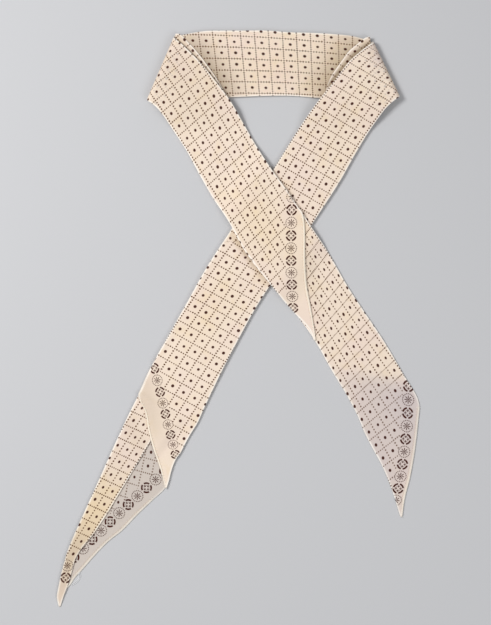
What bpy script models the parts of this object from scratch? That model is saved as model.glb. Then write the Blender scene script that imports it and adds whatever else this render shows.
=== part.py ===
"""Cravat: one square of printed cotton, folded on the bias into a flat band and laid in a loop.

The band lies flat. It runs from the left point up behind the neck and down to the right point,
turns over on itself at both shoulders, and its left front crosses over its right front. Each
stretch that shows is one closed solid. The hidden folds inside a stretch share its solid, and its
layers show as soft ribs along the edges. Lengths are in millimetres until they are placed. +X is to
the right, +Y is towards the back of the neck and +Z is up from the surface.
"""
import math
from collections import namedtuple

import bmesh
import bpy
import numpy as np

MILLIMETRE = 0.001

# Thickness of the cloth, loosely pressed
BAND_THICK = 3.4
PLY_THICK = 1.0
LIP_THICK = 1.1
RIGHT_END_THICK = 2.0
RIGHT_POINT_THICK = 1.2
SEAM_GAP = 0.3

# The turn at each shoulder goes round a loose inner ply
SHOULDER_LIFT = BAND_THICK + PLY_THICK + 2.0 * SEAM_GAP
FOLD_RADIUS = (SHOULDER_LIFT + BAND_THICK) / 2.0
FOLD_HOLLOW = (SHOULDER_LIFT - BAND_THICK) / 2.0
UNDER_RUN = 9.4
TURN_ANGLES = (-90.0, -60.0, -30.0, 0.0, 30.0, 60.0, 90.0)

# The fronts come down from the back band to the surface between these two heights of +Y
SHOULDER_HOLD_Y = 187.0
SHOULDER_FLOOR_Y = 163.0

# The left front rides over the right front, a straight strip where the two cross
CROSSING_LIFT = BAND_THICK + SEAM_GAP
CROSSING_NORMAL = (0.829, -0.559)
CROSSING_OFFSET = -21.0
CROSSING_HALF_WIDTH = 28.0
CROSSING_HOLD = 5.0
CROSSING_REACH = 25.0

# At the left end, the strip lies on the under layer and the front's lip lies on both
RIGHT_END_LIFT = RIGHT_END_THICK + SEAM_GAP
LAYER_LIFT = PLY_THICK + SEAM_GAP
STRIP_NORMAL = (0.794, -0.605)
STRIP_OFFSET = 5.5
STRIP_HOLD = 5.0
STRIP_REACH = 9.0

# Ribs at the edges: share of the thickness, and whether it is a layer or a groove
RIB_HEIGHTS = (0.17, 0.34, 0.50, 0.66, 0.80)
GROOVE_DEPTH = 0.9
RIB_INSET = 0.6

# The upper corner is rounded: distance from the edge, share of the thickness, rise at a hem
TOP_STOPS = ((0.6, 0.86, 0.25), (1.7, 0.97, 0.40), (2.4, 1.00, 0.00))
CORNER_INSET = 0.5
NARROW_WIDTH = 12.0
TOP_POINTS = 6
UNDER_POINTS = 5
RIPPLE_DEPTH = 0.10
ROW_SPACING = 10.5
DRAPED_SPACING = 7.0

FOLD_SHADE_ANGLE = 40.0

# Brings the middle of the whole outline to the origin
CENTRE_SHIFT_Y = -0.3

Section = namedtuple("Section", "inner_x inner_y outer_x outer_y thick lift hem")
Fold = namedtuple("Fold", "high low high_run low_run")
Stretch = namedtuple("Stretch", "name sections hem_side rest spacing phase colour")

# Ends of the two shoulder folds, and the way the back band's edges leave them
LEFT_FOLD = Fold((-57.0, 247.0), (-80.5, 192.5), (12.5, 5.0), (10.5, 0.0))
RIGHT_FOLD = Fold((119.0, 243.0), (142.0, 195.5), (-13.5, 5.5), (-11.0, -0.5))

# One row for each section across a stretch. The inner edge goes round the neck opening.
BACK_BAND = [
    Section(-46.0, 193.5, -29.5, 253.0, BAND_THICK, 0.0, 0.0),
    Section(-23.0, 194.0, -11.5, 253.5, BAND_THICK, 0.0, 0.0),
    Section(-0.5, 195.0, 6.0, 253.5, BAND_THICK, 0.0, 0.0),
    Section(24.5, 196.0, 26.0, 253.5, BAND_THICK, 0.0, 0.0),
    Section(48.0, 196.0, 45.5, 252.0, BAND_THICK, 0.0, 0.0),
    Section(72.0, 194.0, 65.0, 251.5, BAND_THICK, 0.0, 0.0),
    Section(95.0, 193.5, 82.5, 250.5, BAND_THICK, 0.0, 0.0),
    Section(116.0, 194.0, 98.5, 249.0, BAND_THICK, 0.0, 0.0),
]

LEFT_FRONT = [
    Section(-50.5, 240.0, -74.0, 187.5, BAND_THICK, 0.0, 0.0),
    Section(-33.5, 223.5, -70.0, 183.5, BAND_THICK, 0.0, 0.0),
    Section(-21.5, 210.5, -65.0, 177.0, BAND_THICK, 0.0, 0.0),
    Section(-9.5, 195.0, -58.5, 167.5, BAND_THICK, 0.0, 0.0),
    Section(3.5, 173.5, -46.0, 148.5, BAND_THICK, 0.0, 0.0),
    Section(16.0, 152.0, -34.5, 127.5, BAND_THICK, 0.0, 0.0),
    Section(29.5, 131.0, -22.5, 106.5, BAND_THICK, 0.0, 0.0),
    Section(43.5, 112.0, -8.0, 84.5, BAND_THICK, 0.0, 0.0),
    Section(53.5, 97.0, 6.0, 59.0, BAND_THICK, 0.0, 0.0),
    Section(55.5, 94.5, 8.0, 56.0, LIP_THICK, RIGHT_END_LIFT, 0.0),
    Section(57.0, 90.5, 11.0, 52.5, LIP_THICK, RIGHT_END_LIFT, 1.0),
    Section(58.5, 76.5, 17.5, 43.5, LIP_THICK, RIGHT_END_LIFT, 1.0),
    Section(58.5, 61.5, 22.5, 37.5, LIP_THICK, RIGHT_END_LIFT, 1.0),
    Section(59.0, 45.0, 30.5, 27.5, LIP_THICK, RIGHT_END_LIFT, 1.0),
    Section(60.5, 27.5, 41.0, 14.5, LIP_THICK, RIGHT_END_LIFT, 1.0),
    Section(63.0, 14.0, 51.0, 3.5, LIP_THICK, RIGHT_END_LIFT, 1.0),
    Section(65.0, 2.5, 58.0, -4.0, LIP_THICK, RIGHT_END_LIFT, 1.0),
    Section(66.5, -7.0, 62.5, -9.5, LIP_THICK, RIGHT_END_LIFT, 1.0),
    Section(68.0, -18.5, 66.5, -19.0, PLY_THICK, RIGHT_END_LIFT, 1.0),
]

RIGHT_END = [
    Section(57.5, 91.5, 12.0, 50.0, RIGHT_END_THICK, 0.0, 0.0),
    Section(64.0, 81.0, 19.0, 41.5, RIGHT_END_THICK, 0.0, 0.0),
    Section(76.0, 63.5, 30.5, 27.5, RIGHT_END_THICK, 0.0, 0.0),
    Section(97.0, 27.5, 55.0, -1.5, RIGHT_END_THICK, 0.0, 0.0),
    Section(111.5, 5.5, 68.5, -21.0, RIGHT_END_THICK, 0.0, 0.0),
    Section(127.5, -18.5, 81.0, -43.5, 1.8, 0.0, 0.0),
    Section(145.5, -49.0, 97.0, -70.0, 1.5, 0.0, 0.0),
    Section(158.0, -70.5, 107.0, -90.0, RIGHT_POINT_THICK, 0.0, 0.0),
    Section(159.5, -77.0, 110.5, -99.0, RIGHT_POINT_THICK, 0.0, 1.0),
    Section(158.5, -88.5, 115.0, -108.0, RIGHT_POINT_THICK, 0.0, 1.0),
    Section(154.0, -124.0, 127.5, -131.5, RIGHT_POINT_THICK, 0.0, 1.0),
    Section(151.0, -140.0, 131.5, -141.0, RIGHT_POINT_THICK, 0.0, 1.0),
    Section(147.0, -155.5, 136.0, -153.0, RIGHT_POINT_THICK, 0.0, 1.0),
    Section(144.0, -174.0, 142.5, -174.0, RIGHT_POINT_THICK, 0.0, 1.0),
]

RIGHT_FRONT = [
    Section(112.5, 238.0, 135.5, 190.5, BAND_THICK, 0.0, 0.0),
    Section(99.0, 227.5, 131.0, 186.5, BAND_THICK, 0.0, 0.0),
    Section(83.5, 208.0, 124.5, 178.5, BAND_THICK, 0.0, 0.0),
    Section(71.0, 192.5, 114.0, 163.5, BAND_THICK, 0.0, 0.0),
    Section(57.0, 173.0, 102.5, 144.5, BAND_THICK, 0.0, 0.0),
    Section(43.5, 152.0, 90.5, 123.0, BAND_THICK, 0.0, 0.0),
    Section(30.5, 131.0, 76.5, 101.0, BAND_THICK, 0.0, 0.0),
    Section(-6.5, 78.0, 41.0, 48.0, BAND_THICK, 0.0, 0.0),
    Section(-27.5, 46.0, 19.5, 16.5, BAND_THICK, 0.0, 0.0),
    Section(-45.0, 14.5, 2.5, -13.5, BAND_THICK, 0.0, 0.0),
    Section(-62.5, -16.5, -15.0, -47.0, 3.2, 0.0, 0.0),
    Section(-79.5, -49.0, -30.5, -79.5, 2.8, 0.0, 0.0),
    Section(-84.5, -62.5, -37.0, -93.5, 2.6, 0.0, 0.0),
    Section(-86.0, -66.0, -39.0, -96.5, LIP_THICK, LAYER_LIFT, 0.0),
    Section(-85.5, -70.0, -41.5, -100.5, LIP_THICK, LAYER_LIFT, 1.0),
    Section(-82.5, -79.5, -45.5, -107.5, LIP_THICK, LAYER_LIFT, 1.0),
    Section(-79.0, -97.5, -51.0, -118.0, LIP_THICK, LAYER_LIFT, 1.0),
    Section(-74.5, -114.5, -55.5, -124.5, LIP_THICK, LAYER_LIFT, 1.0),
    Section(-70.0, -127.5, -59.0, -134.0, LIP_THICK, LAYER_LIFT, 1.0),
    Section(-66.5, -139.0, -61.0, -142.0, LIP_THICK, LAYER_LIFT, 1.0),
    Section(-64.5, -148.5, -63.0, -148.5, PLY_THICK, LAYER_LIFT, 1.0),
]

LEFT_STRIP = [
    Section(-88.5, -68.0, -58.5, -84.5, PLY_THICK, LAYER_LIFT, 0.0),
    Section(-95.5, -82.0, -69.5, -96.5, PLY_THICK, LAYER_LIFT, 0.0),
    Section(-109.5, -112.0, -87.5, -125.0, PLY_THICK, LAYER_LIFT, 0.0),
    Section(-123.5, -143.5, -105.0, -154.0, PLY_THICK, LAYER_LIFT, 0.0),
    Section(-133.5, -165.5, -117.5, -174.5, PLY_THICK, LAYER_LIFT, 0.0),
    Section(-142.5, -185.5, -130.0, -192.5, PLY_THICK, LAYER_LIFT, 0.0),
    Section(-147.0, -196.0, -137.5, -201.5, PLY_THICK, LAYER_LIFT, 0.0),
    Section(-151.0, -206.5, -143.0, -210.5, PLY_THICK, LAYER_LIFT, 0.0),
    Section(-155.0, -221.0, -145.5, -219.0, PLY_THICK, LAYER_LIFT, 0.0),
    Section(-158.0, -235.0, -149.5, -233.0, PLY_THICK, LAYER_LIFT, 0.0),
    Section(-159.5, -245.5, -154.0, -245.0, PLY_THICK, 0.8, 0.0),
    Section(-158.0, -253.0, -156.5, -253.0, PLY_THICK, 0.0, 0.0),
]

LEFT_UNDER = [
    Section(-84.0, -71.5, -42.0, -100.0, PLY_THICK, 0.0, 0.0),
    Section(-94.0, -83.5, -48.5, -111.5, PLY_THICK, 0.0, 0.0),
    Section(-108.0, -113.0, -57.5, -129.0, PLY_THICK, 0.0, 0.0),
    Section(-116.5, -131.5, -64.0, -148.5, PLY_THICK, 0.0, 0.5),
    Section(-122.0, -144.5, -76.0, -160.0, PLY_THICK, 0.0, 1.0),
    Section(-128.5, -158.0, -90.0, -173.5, PLY_THICK, 0.0, 1.0),
    Section(-134.5, -171.0, -102.0, -186.0, PLY_THICK, 0.0, 1.0),
    Section(-141.5, -186.0, -115.0, -196.5, PLY_THICK, 0.0, 1.0),
    Section(-147.0, -198.5, -127.5, -209.5, PLY_THICK, 0.0, 1.0),
    Section(-150.5, -208.5, -137.5, -221.0, PLY_THICK, 0.0, 1.0),
    Section(-153.0, -218.0, -143.5, -227.5, PLY_THICK, 0.0, 1.0),
    Section(-154.5, -227.0, -147.5, -233.5, PLY_THICK, 0.0, 1.0),
    Section(-153.5, -234.5, -150.5, -237.0, PLY_THICK, 0.0, 1.0),
]

LEFT_PLY = [
    Section(-53.5, 251.5, -50.5, 246.5, PLY_THICK, CROSSING_LIFT, 0.0),
    Section(-42.5, 241.5, -52.5, 232.5, PLY_THICK, CROSSING_LIFT, 0.0),
    Section(-34.5, 232.5, -48.0, 221.0, PLY_THICK, CROSSING_LIFT, 0.0),
    Section(-26.5, 222.0, -41.5, 210.5, PLY_THICK, CROSSING_LIFT, 0.0),
    Section(-18.5, 210.5, -33.5, 200.5, PLY_THICK, CROSSING_LIFT, 0.0),
    Section(-12.5, 200.5, -23.0, 196.0, PLY_THICK, CROSSING_LIFT, 0.0),
]

RIGHT_PLY = [
    Section(111.5, 247.0, 114.5, 247.5, PLY_THICK, CROSSING_LIFT, 0.0),
    Section(104.5, 241.5, 111.5, 234.0, PLY_THICK, CROSSING_LIFT, 0.0),
    Section(96.5, 234.5, 110.5, 222.5, PLY_THICK, CROSSING_LIFT, 0.0),
    Section(89.5, 225.0, 105.5, 213.0, PLY_THICK, CROSSING_LIFT, 0.0),
    Section(81.0, 212.0, 96.5, 201.5, PLY_THICK, CROSSING_LIFT, 0.0),
    Section(76.5, 201.0, 87.0, 196.0, PLY_THICK, CROSSING_LIFT, 0.0),
]

CREAM = (0.78, 0.69, 0.58)
SHADED_CREAM = (0.70, 0.62, 0.52)
GREYED = (0.60, 0.56, 0.54)


def ease(share):
    """Goes softly from 0 to 1 as share goes from 0 to 1."""
    held = min(max(share, 0.0), 1.0)
    return held * held * (3.0 - 2.0 * held)


def rest_on_shoulder(x, y):
    """Height of a front's underside where it comes down off the back band."""
    return SHOULDER_LIFT * ease((y - SHOULDER_FLOOR_Y) / (SHOULDER_HOLD_Y - SHOULDER_FLOOR_Y))


def rest_on_crossing(x, y):
    """Height of what lies over the right front, which it leaves in a soft slope."""
    across = CROSSING_NORMAL[0] * x + CROSSING_NORMAL[1] * y - CROSSING_OFFSET
    beyond = abs(across) - CROSSING_HALF_WIDTH
    return CROSSING_LIFT * ease((CROSSING_HOLD + CROSSING_REACH - beyond) / CROSSING_REACH)


def flat_rest(x, y, lift):
    return lift


def left_front_rest(x, y, lift):
    return max(rest_on_shoulder(x, y), rest_on_crossing(x, y)) + lift


def right_front_rest(x, y, lift):
    """The lip lies on the under layer, and rises again over the narrow strip."""
    beyond = STRIP_NORMAL[0] * x + STRIP_NORMAL[1] * y - STRIP_OFFSET
    over_strip = ease((STRIP_HOLD + STRIP_REACH - beyond) / STRIP_REACH)
    return rest_on_shoulder(x, y) + lift * (1.0 + over_strip)


def right_end_rest(x, y, lift):
    return rest_on_crossing(x, y) + lift


def ripple(x, y):
    """Slight unevenness of pressed cloth, from 0 to 1."""
    wave = math.sin(x / 13.0 + y / 29.0) + math.sin(y / 17.0 - x / 23.0 + 1.3)
    return 0.5 + 0.25 * wave


def rib_offsets(run, phase):
    """How far each layer and groove of an edge lies inside the outermost layer."""
    lower = RIB_INSET * math.sin(run / 37.0 + phase) ** 2
    upper = RIB_INSET * math.sin(run / 53.0 + 1.9 * phase + 0.8) ** 2
    groove = GROOVE_DEPTH
    return (lower, lower + groove * 0.7, 0.0, upper + groove * 0.7, upper)


def ring(start, end, up, thick, rest, hems, run, phase, rippled):
    """Points round one section, from the start edge along the underside and back over the top."""
    start = np.array(start)
    span = np.array(end) - start
    width = float(np.linalg.norm(span))
    along = span / width
    squeeze = min(1.0, width / NARROW_WIDTH)
    slim = squeeze * min(1.0, thick / BAND_THICK)

    def point(distance, height):
        spot = start + along * distance
        lifted = spot + up * height
        lifted[2] += rest(spot[0], spot[1])
        return lifted

    corner = CORNER_INSET * squeeze
    under = np.linspace(corner, width - corner, UNDER_POINTS + 2)
    points = [point(distance, 0.0) for distance in under]
    offsets = rib_offsets(run, phase)
    far_side = [point(width - slim * inset, thick * share)
                for inset, share in zip(offsets, RIB_HEIGHTS)]
    offsets = rib_offsets(run, phase + 2.1)
    near_side = [point(slim * inset, thick * share)
                 for inset, share in zip(offsets, RIB_HEIGHTS)]

    first_stop = TOP_STOPS[-1][0] * squeeze
    middle = np.linspace(first_stop, width - first_stop, TOP_POINTS + 2)[1:-1]
    near_top = [(inset * squeeze, share, rise * hems[0]) for inset, share, rise in TOP_STOPS]
    far_top = [(width - inset * squeeze, share, rise * hems[1]) for inset, share, rise in TOP_STOPS]
    profile = near_top + [(distance, 1.0, 0.0) for distance in middle] + far_top[::-1]
    top = []
    for distance, share, rise in profile:
        spot = start + along * distance
        dip = RIPPLE_DEPTH * rippled * ripple(spot[0], spot[1])
        top.append(point(distance, thick * share * (1.0 - dip) + rise))
    return points + far_side + top[::-1] + near_side[::-1]


def read_between(sections, spacing):
    """Reads a smooth curve through the sections, with a row about every spacing."""
    edges = np.array([section[:4] for section in sections])
    values = np.array([section[4:] for section in sections])
    middle = (edges[:, :2] + edges[:, 2:]) / 2.0
    steps = np.linalg.norm(np.diff(middle, axis=0), axis=1)
    runs = np.concatenate(([0.0], np.cumsum(steps)))
    slopes = np.gradient(edges, runs, axis=0, edge_order=1)
    rows = []
    for index, step in enumerate(steps):
        count = max(1, round(step / spacing))
        for part in range(count):
            share = part / count
            ease_in = share * share * (3.0 - 2.0 * share)
            lead = share * (1.0 - share) ** 2
            trail = share * share * (share - 1.0)
            edge = edges[index] * (1.0 - ease_in) + edges[index + 1] * ease_in
            edge = edge + step * (slopes[index] * lead + slopes[index + 1] * trail)
            value = values[index] * (1.0 - share) + values[index + 1] * share
            rows.append((runs[index] + step * share, Section(*edge, *value)))
    rows.append((runs[-1], sections[-1]))
    return rows


def section_rings(stretch):
    """Rings of the part of a stretch that lies flat or drapes over what is under it."""
    rings = []
    for run, section in read_between(stretch.sections, stretch.spacing):
        inner = (section.inner_x, section.inner_y, 0.0)
        outer = (section.outer_x, section.outer_y, 0.0)
        hems = (section.hem, 0.0) if stretch.hem_side == "inner" else (0.0, section.hem)

        def rest(x, y, lift=section.lift):
            return stretch.rest(x, y, lift)

        up = np.array((0.0, 0.0, 1.0))
        rings.append(ring(inner, outer, up, section.thick, rest, hems, run, stretch.phase, 1.0))
    return rings


def fold_frame(fold):
    """The fold line's high end, low end, its direction, and the way the cloth lies from it."""
    high = np.array(fold.high)
    low = np.array(fold.low)
    along = (high - low) / np.linalg.norm(high - low)
    away = np.array((along[1], -along[0]))
    if away @ np.array(fold.low_run) < 0.0:
        away = -away
    return high, low, along, away


def slide(run, along, away):
    """Shift along the fold for each millimetre away from it, of an edge with this direction."""
    return (run @ along) / (run @ away)


def turn_rings(fold, first, phase):
    """Rings of the shoulder turn, from under the front, round the fold and on to its top."""
    high, low, along, away = fold_frame(fold)
    over_high = slide(np.array((first.inner_x, first.inner_y)) - high, along, away)
    over_low = slide(np.array((first.outer_x, first.outer_y)) - low, along, away)
    under_high = slide(np.array(fold.high_run), along, away)
    under_low = slide(np.array(fold.low_run), along, away)

    def turn_ring(angle, extra):
        lean = math.sin(math.radians(angle))
        reach = math.cos(math.radians(angle))
        plan = FOLD_RADIUS - FOLD_HOLLOW * reach
        height = FOLD_RADIUS + FOLD_HOLLOW * lean
        ends = []
        for end, under, over in ((high, under_high, over_high), (low, under_low, over_low)):
            shift = (FOLD_RADIUS + extra) * under * (1.0 - lean) / 2.0
            shift += FOLD_RADIUS * over * (1.0 + lean) / 2.0
            spot = end + away * (plan + extra) + along * shift
            ends.append((spot[0], spot[1], height))
        up = np.array((-away[0] * reach, -away[1] * reach, lean))

        def no_rest(x, y):
            return 0.0

        return ring(ends[0], ends[1], up, BAND_THICK, no_rest, (0.0, 0.0), angle / 9.0, phase, 0.0)

    rings = [turn_ring(TURN_ANGLES[0], UNDER_RUN - FOLD_RADIUS)]
    rings.extend(turn_ring(angle, 0.0) for angle in TURN_ANGLES)
    return rings


def beside_fold(fold):
    """The back band's last section, which meets the turned end of a front face to face."""
    high, low, along, away = fold_frame(fold)
    reach = UNDER_RUN + SEAM_GAP
    upper = high + (away + along * slide(np.array(fold.high_run), along, away)) * reach
    lower = low + (away + along * slide(np.array(fold.low_run), along, away)) * reach
    return Section(lower[0], lower[1], upper[0], upper[1], BAND_THICK, 0.0, 0.0)


def cloth_material(name, colour):
    """Matt cotton."""
    material = bpy.data.materials.new(name + "_cotton")
    material.use_nodes = True
    shader = material.node_tree.nodes["Principled BSDF"]
    shader.inputs["Base Color"].default_value = (*colour, 1.0)
    shader.inputs["Roughness"].default_value = 0.9
    shader.inputs["Metallic"].default_value = 0.0
    return material


def loft(name, rings, colour, holder):
    """Joins the rings into one closed solid with a flat cap at each end."""
    shape = bmesh.new()
    loops = [[shape.verts.new(point * MILLIMETRE) for point in points] for points in rings]
    size = len(loops[0])
    for lower, upper in zip(loops, loops[1:]):
        for index in range(size):
            after = (index + 1) % size
            shape.faces.new((lower[index], lower[after], upper[after], upper[index]))
    shape.faces.new(loops[0][::-1])
    shape.faces.new(loops[-1])
    bmesh.ops.recalc_face_normals(shape, faces=shape.faces)
    mesh = bpy.data.meshes.new(name)
    shape.to_mesh(mesh)
    shape.free()
    mesh.shade_smooth()
    mesh.set_sharp_from_angle(angle=math.radians(FOLD_SHADE_ANGLE))
    mesh.materials.append(cloth_material(name, colour))
    solid = bpy.data.objects.new(name, mesh)
    solid.parent = holder
    bpy.context.scene.collection.objects.link(solid)
    return solid


def build():
    for old in list(bpy.data.objects):
        bpy.data.objects.remove(old)
    holder = bpy.data.objects.new("cravat", None)
    holder.location.y = CENTRE_SHIFT_Y * MILLIMETRE
    bpy.context.scene.collection.objects.link(holder)

    back = [beside_fold(LEFT_FOLD)] + BACK_BAND + [beside_fold(RIGHT_FOLD)]
    stretches = [
        Stretch("back_band", back, "inner", flat_rest, ROW_SPACING, 0.3, CREAM),
        Stretch("left_front_band", LEFT_FRONT, "inner", left_front_rest, DRAPED_SPACING, 1.1, CREAM),
        Stretch("right_front_band", RIGHT_FRONT, "inner", right_front_rest, ROW_SPACING, 2.4, CREAM),
        Stretch("right_end_layer", RIGHT_END, "inner", right_end_rest, DRAPED_SPACING, 0.7, CREAM),
        Stretch("left_end_strip", LEFT_STRIP, "inner", flat_rest, ROW_SPACING, 1.7, CREAM),
        Stretch("left_end_under_layer", LEFT_UNDER, "outer", flat_rest, ROW_SPACING, 2.9, GREYED),
        Stretch("left_shoulder_ply", LEFT_PLY, "inner", flat_rest, ROW_SPACING, 0.9, SHADED_CREAM),
        Stretch("right_shoulder_ply", RIGHT_PLY, "inner", flat_rest, ROW_SPACING, 2.2, SHADED_CREAM),
    ]
    folds = {"left_front_band": LEFT_FOLD, "right_front_band": RIGHT_FOLD}
    for stretch in stretches:
        rings = section_rings(stretch)
        if stretch.name in folds:
            rings = turn_rings(folds[stretch.name], stretch.sections[0], stretch.phase) + rings
        loft(stretch.name, rings, stretch.colour, holder)


build()
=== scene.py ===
"""Looks of the cravat: one square of fine printed cotton, folded on the bias into a flat band.

The sections follow the cravat as it is laid down: the back band, the plies inside its two shoulder
turns, the left end's two layers, the right front and its end, and the left front on top. Each hem
is sewn in its own piece's section. Lengths are in millimetres until they are placed. +X is to the
right, +Y is towards the back of the neck and +Z is up from the surface.
"""

import math
from collections import namedtuple

import bmesh
import bpy
import numpy as np
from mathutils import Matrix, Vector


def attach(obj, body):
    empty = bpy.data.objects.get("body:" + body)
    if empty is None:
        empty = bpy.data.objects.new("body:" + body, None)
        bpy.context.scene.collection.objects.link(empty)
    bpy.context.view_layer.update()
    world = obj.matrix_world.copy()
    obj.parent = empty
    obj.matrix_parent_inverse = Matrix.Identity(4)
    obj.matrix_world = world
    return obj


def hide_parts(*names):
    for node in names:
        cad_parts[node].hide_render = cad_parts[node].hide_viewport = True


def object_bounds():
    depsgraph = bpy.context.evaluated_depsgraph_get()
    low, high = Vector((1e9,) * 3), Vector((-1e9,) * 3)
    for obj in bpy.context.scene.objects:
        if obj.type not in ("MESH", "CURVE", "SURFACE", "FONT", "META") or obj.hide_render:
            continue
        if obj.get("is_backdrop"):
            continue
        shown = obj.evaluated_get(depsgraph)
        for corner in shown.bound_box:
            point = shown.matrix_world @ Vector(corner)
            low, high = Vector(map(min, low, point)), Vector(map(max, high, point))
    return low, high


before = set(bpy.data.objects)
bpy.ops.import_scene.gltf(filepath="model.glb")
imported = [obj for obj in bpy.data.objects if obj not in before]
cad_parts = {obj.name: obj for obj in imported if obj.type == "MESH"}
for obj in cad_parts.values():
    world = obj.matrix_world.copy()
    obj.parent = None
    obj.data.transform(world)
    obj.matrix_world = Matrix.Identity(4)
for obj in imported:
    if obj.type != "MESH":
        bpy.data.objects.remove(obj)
cad_corners = [list(corner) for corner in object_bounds()]

# The camera looks straight down on the cravat from 1.9 m, as in the photo. Each pixel of the
# photo is 0.88 mm of cloth, and the middle of the frame is a little right of and above the
# cravat's own middle.
MILLIMETRE = 0.001
PHOTO_HEIGHT_PIXELS = 625
PIXEL_SIZE = 0.88
CAMERA_PLACE = (6.3, 5.4, 1900.0)
SENSOR_HEIGHT = 24.0


def add_object(name, data):
    """A new object with this data, linked to the scene."""
    made = bpy.data.objects.new(name, data)
    bpy.context.scene.collection.objects.link(made)
    return made


camera_data = bpy.data.cameras.new("overhead_camera")
camera_data.sensor_fit = "VERTICAL"
camera_data.sensor_height = SENSOR_HEIGHT
camera_data.lens = SENSOR_HEIGHT * CAMERA_PLACE[2] / (PHOTO_HEIGHT_PIXELS * PIXEL_SIZE)
camera_data.clip_end = 20.0
camera = add_object("overhead_camera", camera_data)
camera.location = [length * MILLIMETRE for length in CAMERA_PLACE]
bpy.context.scene.camera = camera

# The back band is the stretch behind the neck. It is the square of printed cotton folded over and
# over on the bias, so its long edges are soft folds with the layers showing between them, and the
# print's trellis runs along it. Nothing is sewn here: pressing alone holds it.
CENTRE_SHIFT_Y = -0.3
BAND_THICK = 3.4
SEAM_GAP = 0.3
TURN_REACH = 4.3

Section = namedtuple("Section", "inner_x inner_y outer_x outer_y thick lift hem")
Fold = namedtuple("Fold", "high low high_run low_run")
Crease = namedtuple("Crease", "from_x from_y to_x to_y width depth")
EdgeStep = namedtuple("EdgeStep", "low_y high_y fade back")

# A thin patch, where dots across the band look joined or the print of the layer below shows faintly
SeeThrough = namedtuple("SeeThrough", "x y length width turn joined ghost")

# A soft patch of tone, darker, warmer or greyer: stains, and painted shade where shadow falls. The higher
# its ends number, the more sharply it stops there
PATCH_FIELDS = "x y length width turn shade warmth greyness ends"
Patch = namedtuple("Patch", PATCH_FIELDS, defaults=(0.0, 3.0))

# The printed trellis of one stretch: where a spot lies, and the steps to the next ones along and
# across. Then how the pulled cloth bends it: a bow that grows with the square of the cells along, a
# twist and a lean that grow with cells along times across, and, before the cell number fold_from,
# where the cloth rolls into the shoulder fold, how it crowds along and curls across
NO_FOLD = -99.0
CHART_FIELDS = "dot along across bow twist lean fold_from fold_crowd fold_curl"
Chart = namedtuple("Chart", CHART_FIELDS, defaults=(0.0, 0.0, 0.0, NO_FOLD, 0.0, 0.0))

# A border's row of rosettes: the places and numbers of its first and last ones, how it bows and how
# it crowds to one end, the hem's side, how many rosettes of cloth lie before the first one, and how
# far from the row the trellis's spots end
BORDER_FIELDS = "first last first_number last_number bow crowd hem_side reach spots_end"
BorderRow = namedtuple("BorderRow", BORDER_FIELDS, defaults=(1.0, 3.0, 9.3))


def lay(thick, lift, hem, *edges):
    """Sections of one thickness, lift and share of hem, from rows of inner and outer x and y."""
    return [Section(*edge, thick, lift, hem) for edge in edges]


LEFT_FOLD = Fold((-57.0, 247.0), (-80.5, 192.5), (12.5, 5.0), (10.5, 0.0))
RIGHT_FOLD = Fold((119.0, 243.0), (142.0, 195.5), (-13.5, 5.5), (-11.0, -0.5))
BACK_BAND = lay(
    BAND_THICK, 0, 0,
    (-46, 193.5, -29.5, 253),
    (-23, 194, -11.5, 253.5),
    (-0.5, 195, 6, 253.5),
    (24.5, 196, 26, 253.5),
    (48, 196, 45.5, 252),
    (72, 194, 65, 251.5),
    (95, 193.5, 82.5, 250.5),
    (116, 194, 98.5, 249),
)
BACK_CHART = Chart((10.4, 223.3), (12.0, -0.35), (0.9, -9.98), bow=-0.0055, twist=0.0104, lean=0.009)
BACK_CREASES = [
    Crease(-34, 238, 20, 243, 3.5, 0.30),
    Crease(28, 204, 82, 199, 3.0, 0.28),
    Crease(-8, 214, 44, 220, 5.0, 0.22),
    Crease(58, 232, 97, 240, 4.0, 0.26),
    Crease(-20, 200, -14, 232, 3.0, 0.18),
    Crease(80, 206, 76, 228, 3.2, 0.18),
]
BACK_PATCHES = [
    # Painted shade on the back band beside the left ply, then beside the right ply and warmer; a slight
    # darkening of the whole back band; a warm stain
    Patch(-29, 218, 38, 16, -52, 0.92, 0.05, 0.05),
    Patch(92, 219, 38, 19, 55, 0.72, 0.60),
    Patch(30, 222, 90, 50, 0, 0.06, 0.05),
    Patch(30, 222, 26, 14, 10, 0.0, 0.25),
]

ROW_STEP = 1.5
TOP_STEP = 1.15
UNDER_POINTS = 9
GROOVE_DEPTH = 2.4
LAYER_WANDER = 0.8
CORNER_INSET = 0.5
NARROW_WIDTH = 12.0
RIPPLE_DEPTH = 0.10
DEEPEST_DENT = 0.45
STITCH_LINE = 6
HEMMED_WITHIN = 6.0
FAR_FROM_HEM = 30.0
HEM_MAP_REACH = 10.0
EDGE_MAP_SCALE = 0.01
OFF_ROW = 50.0
ROW_OVERRUN = 0.55
UP = np.array((0.0, 0.0, 1.0))

# Up each layer of an edge: share of the layer's height, and share of the groove's depth
LAYER_ROUND = ((0.03, 1.00), (0.10, 0.30), (0.26, 0.07), (0.50, 0.00), (0.74, 0.06), (0.90, 0.28))
TOP_LAYER_ROUND = ((0.03, 1.00), (0.10, 0.30), (0.28, 0.06))

# In from a folded edge over the top: distance, share of a layer still to rise, rise of a rolled hem
TOP_ROUND = (
    (0.02, 0.42, -0.12), (0.15, 0.24, 0.02), (0.40, 0.12, 0.16), (0.90, 0.05, 0.34), (1.40, 0.02, 0.38),
    (1.90, 0.01, 0.26), (2.30, 0.00, -0.02), (2.70, 0.00, -0.07), (3.20, 0.00, 0.00),
)
RIM_WIDTH = TOP_ROUND[-1][0]


def ease(share):
    """Goes softly from 0 to 1 as share goes from 0 to 1."""
    held = np.clip(share, 0.0, 1.0)
    return held * held * (3.0 - 2.0 * held)


def flat_rest(x, y, lift):
    """Height of a level underside."""
    return lift + 0.0 * x


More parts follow.
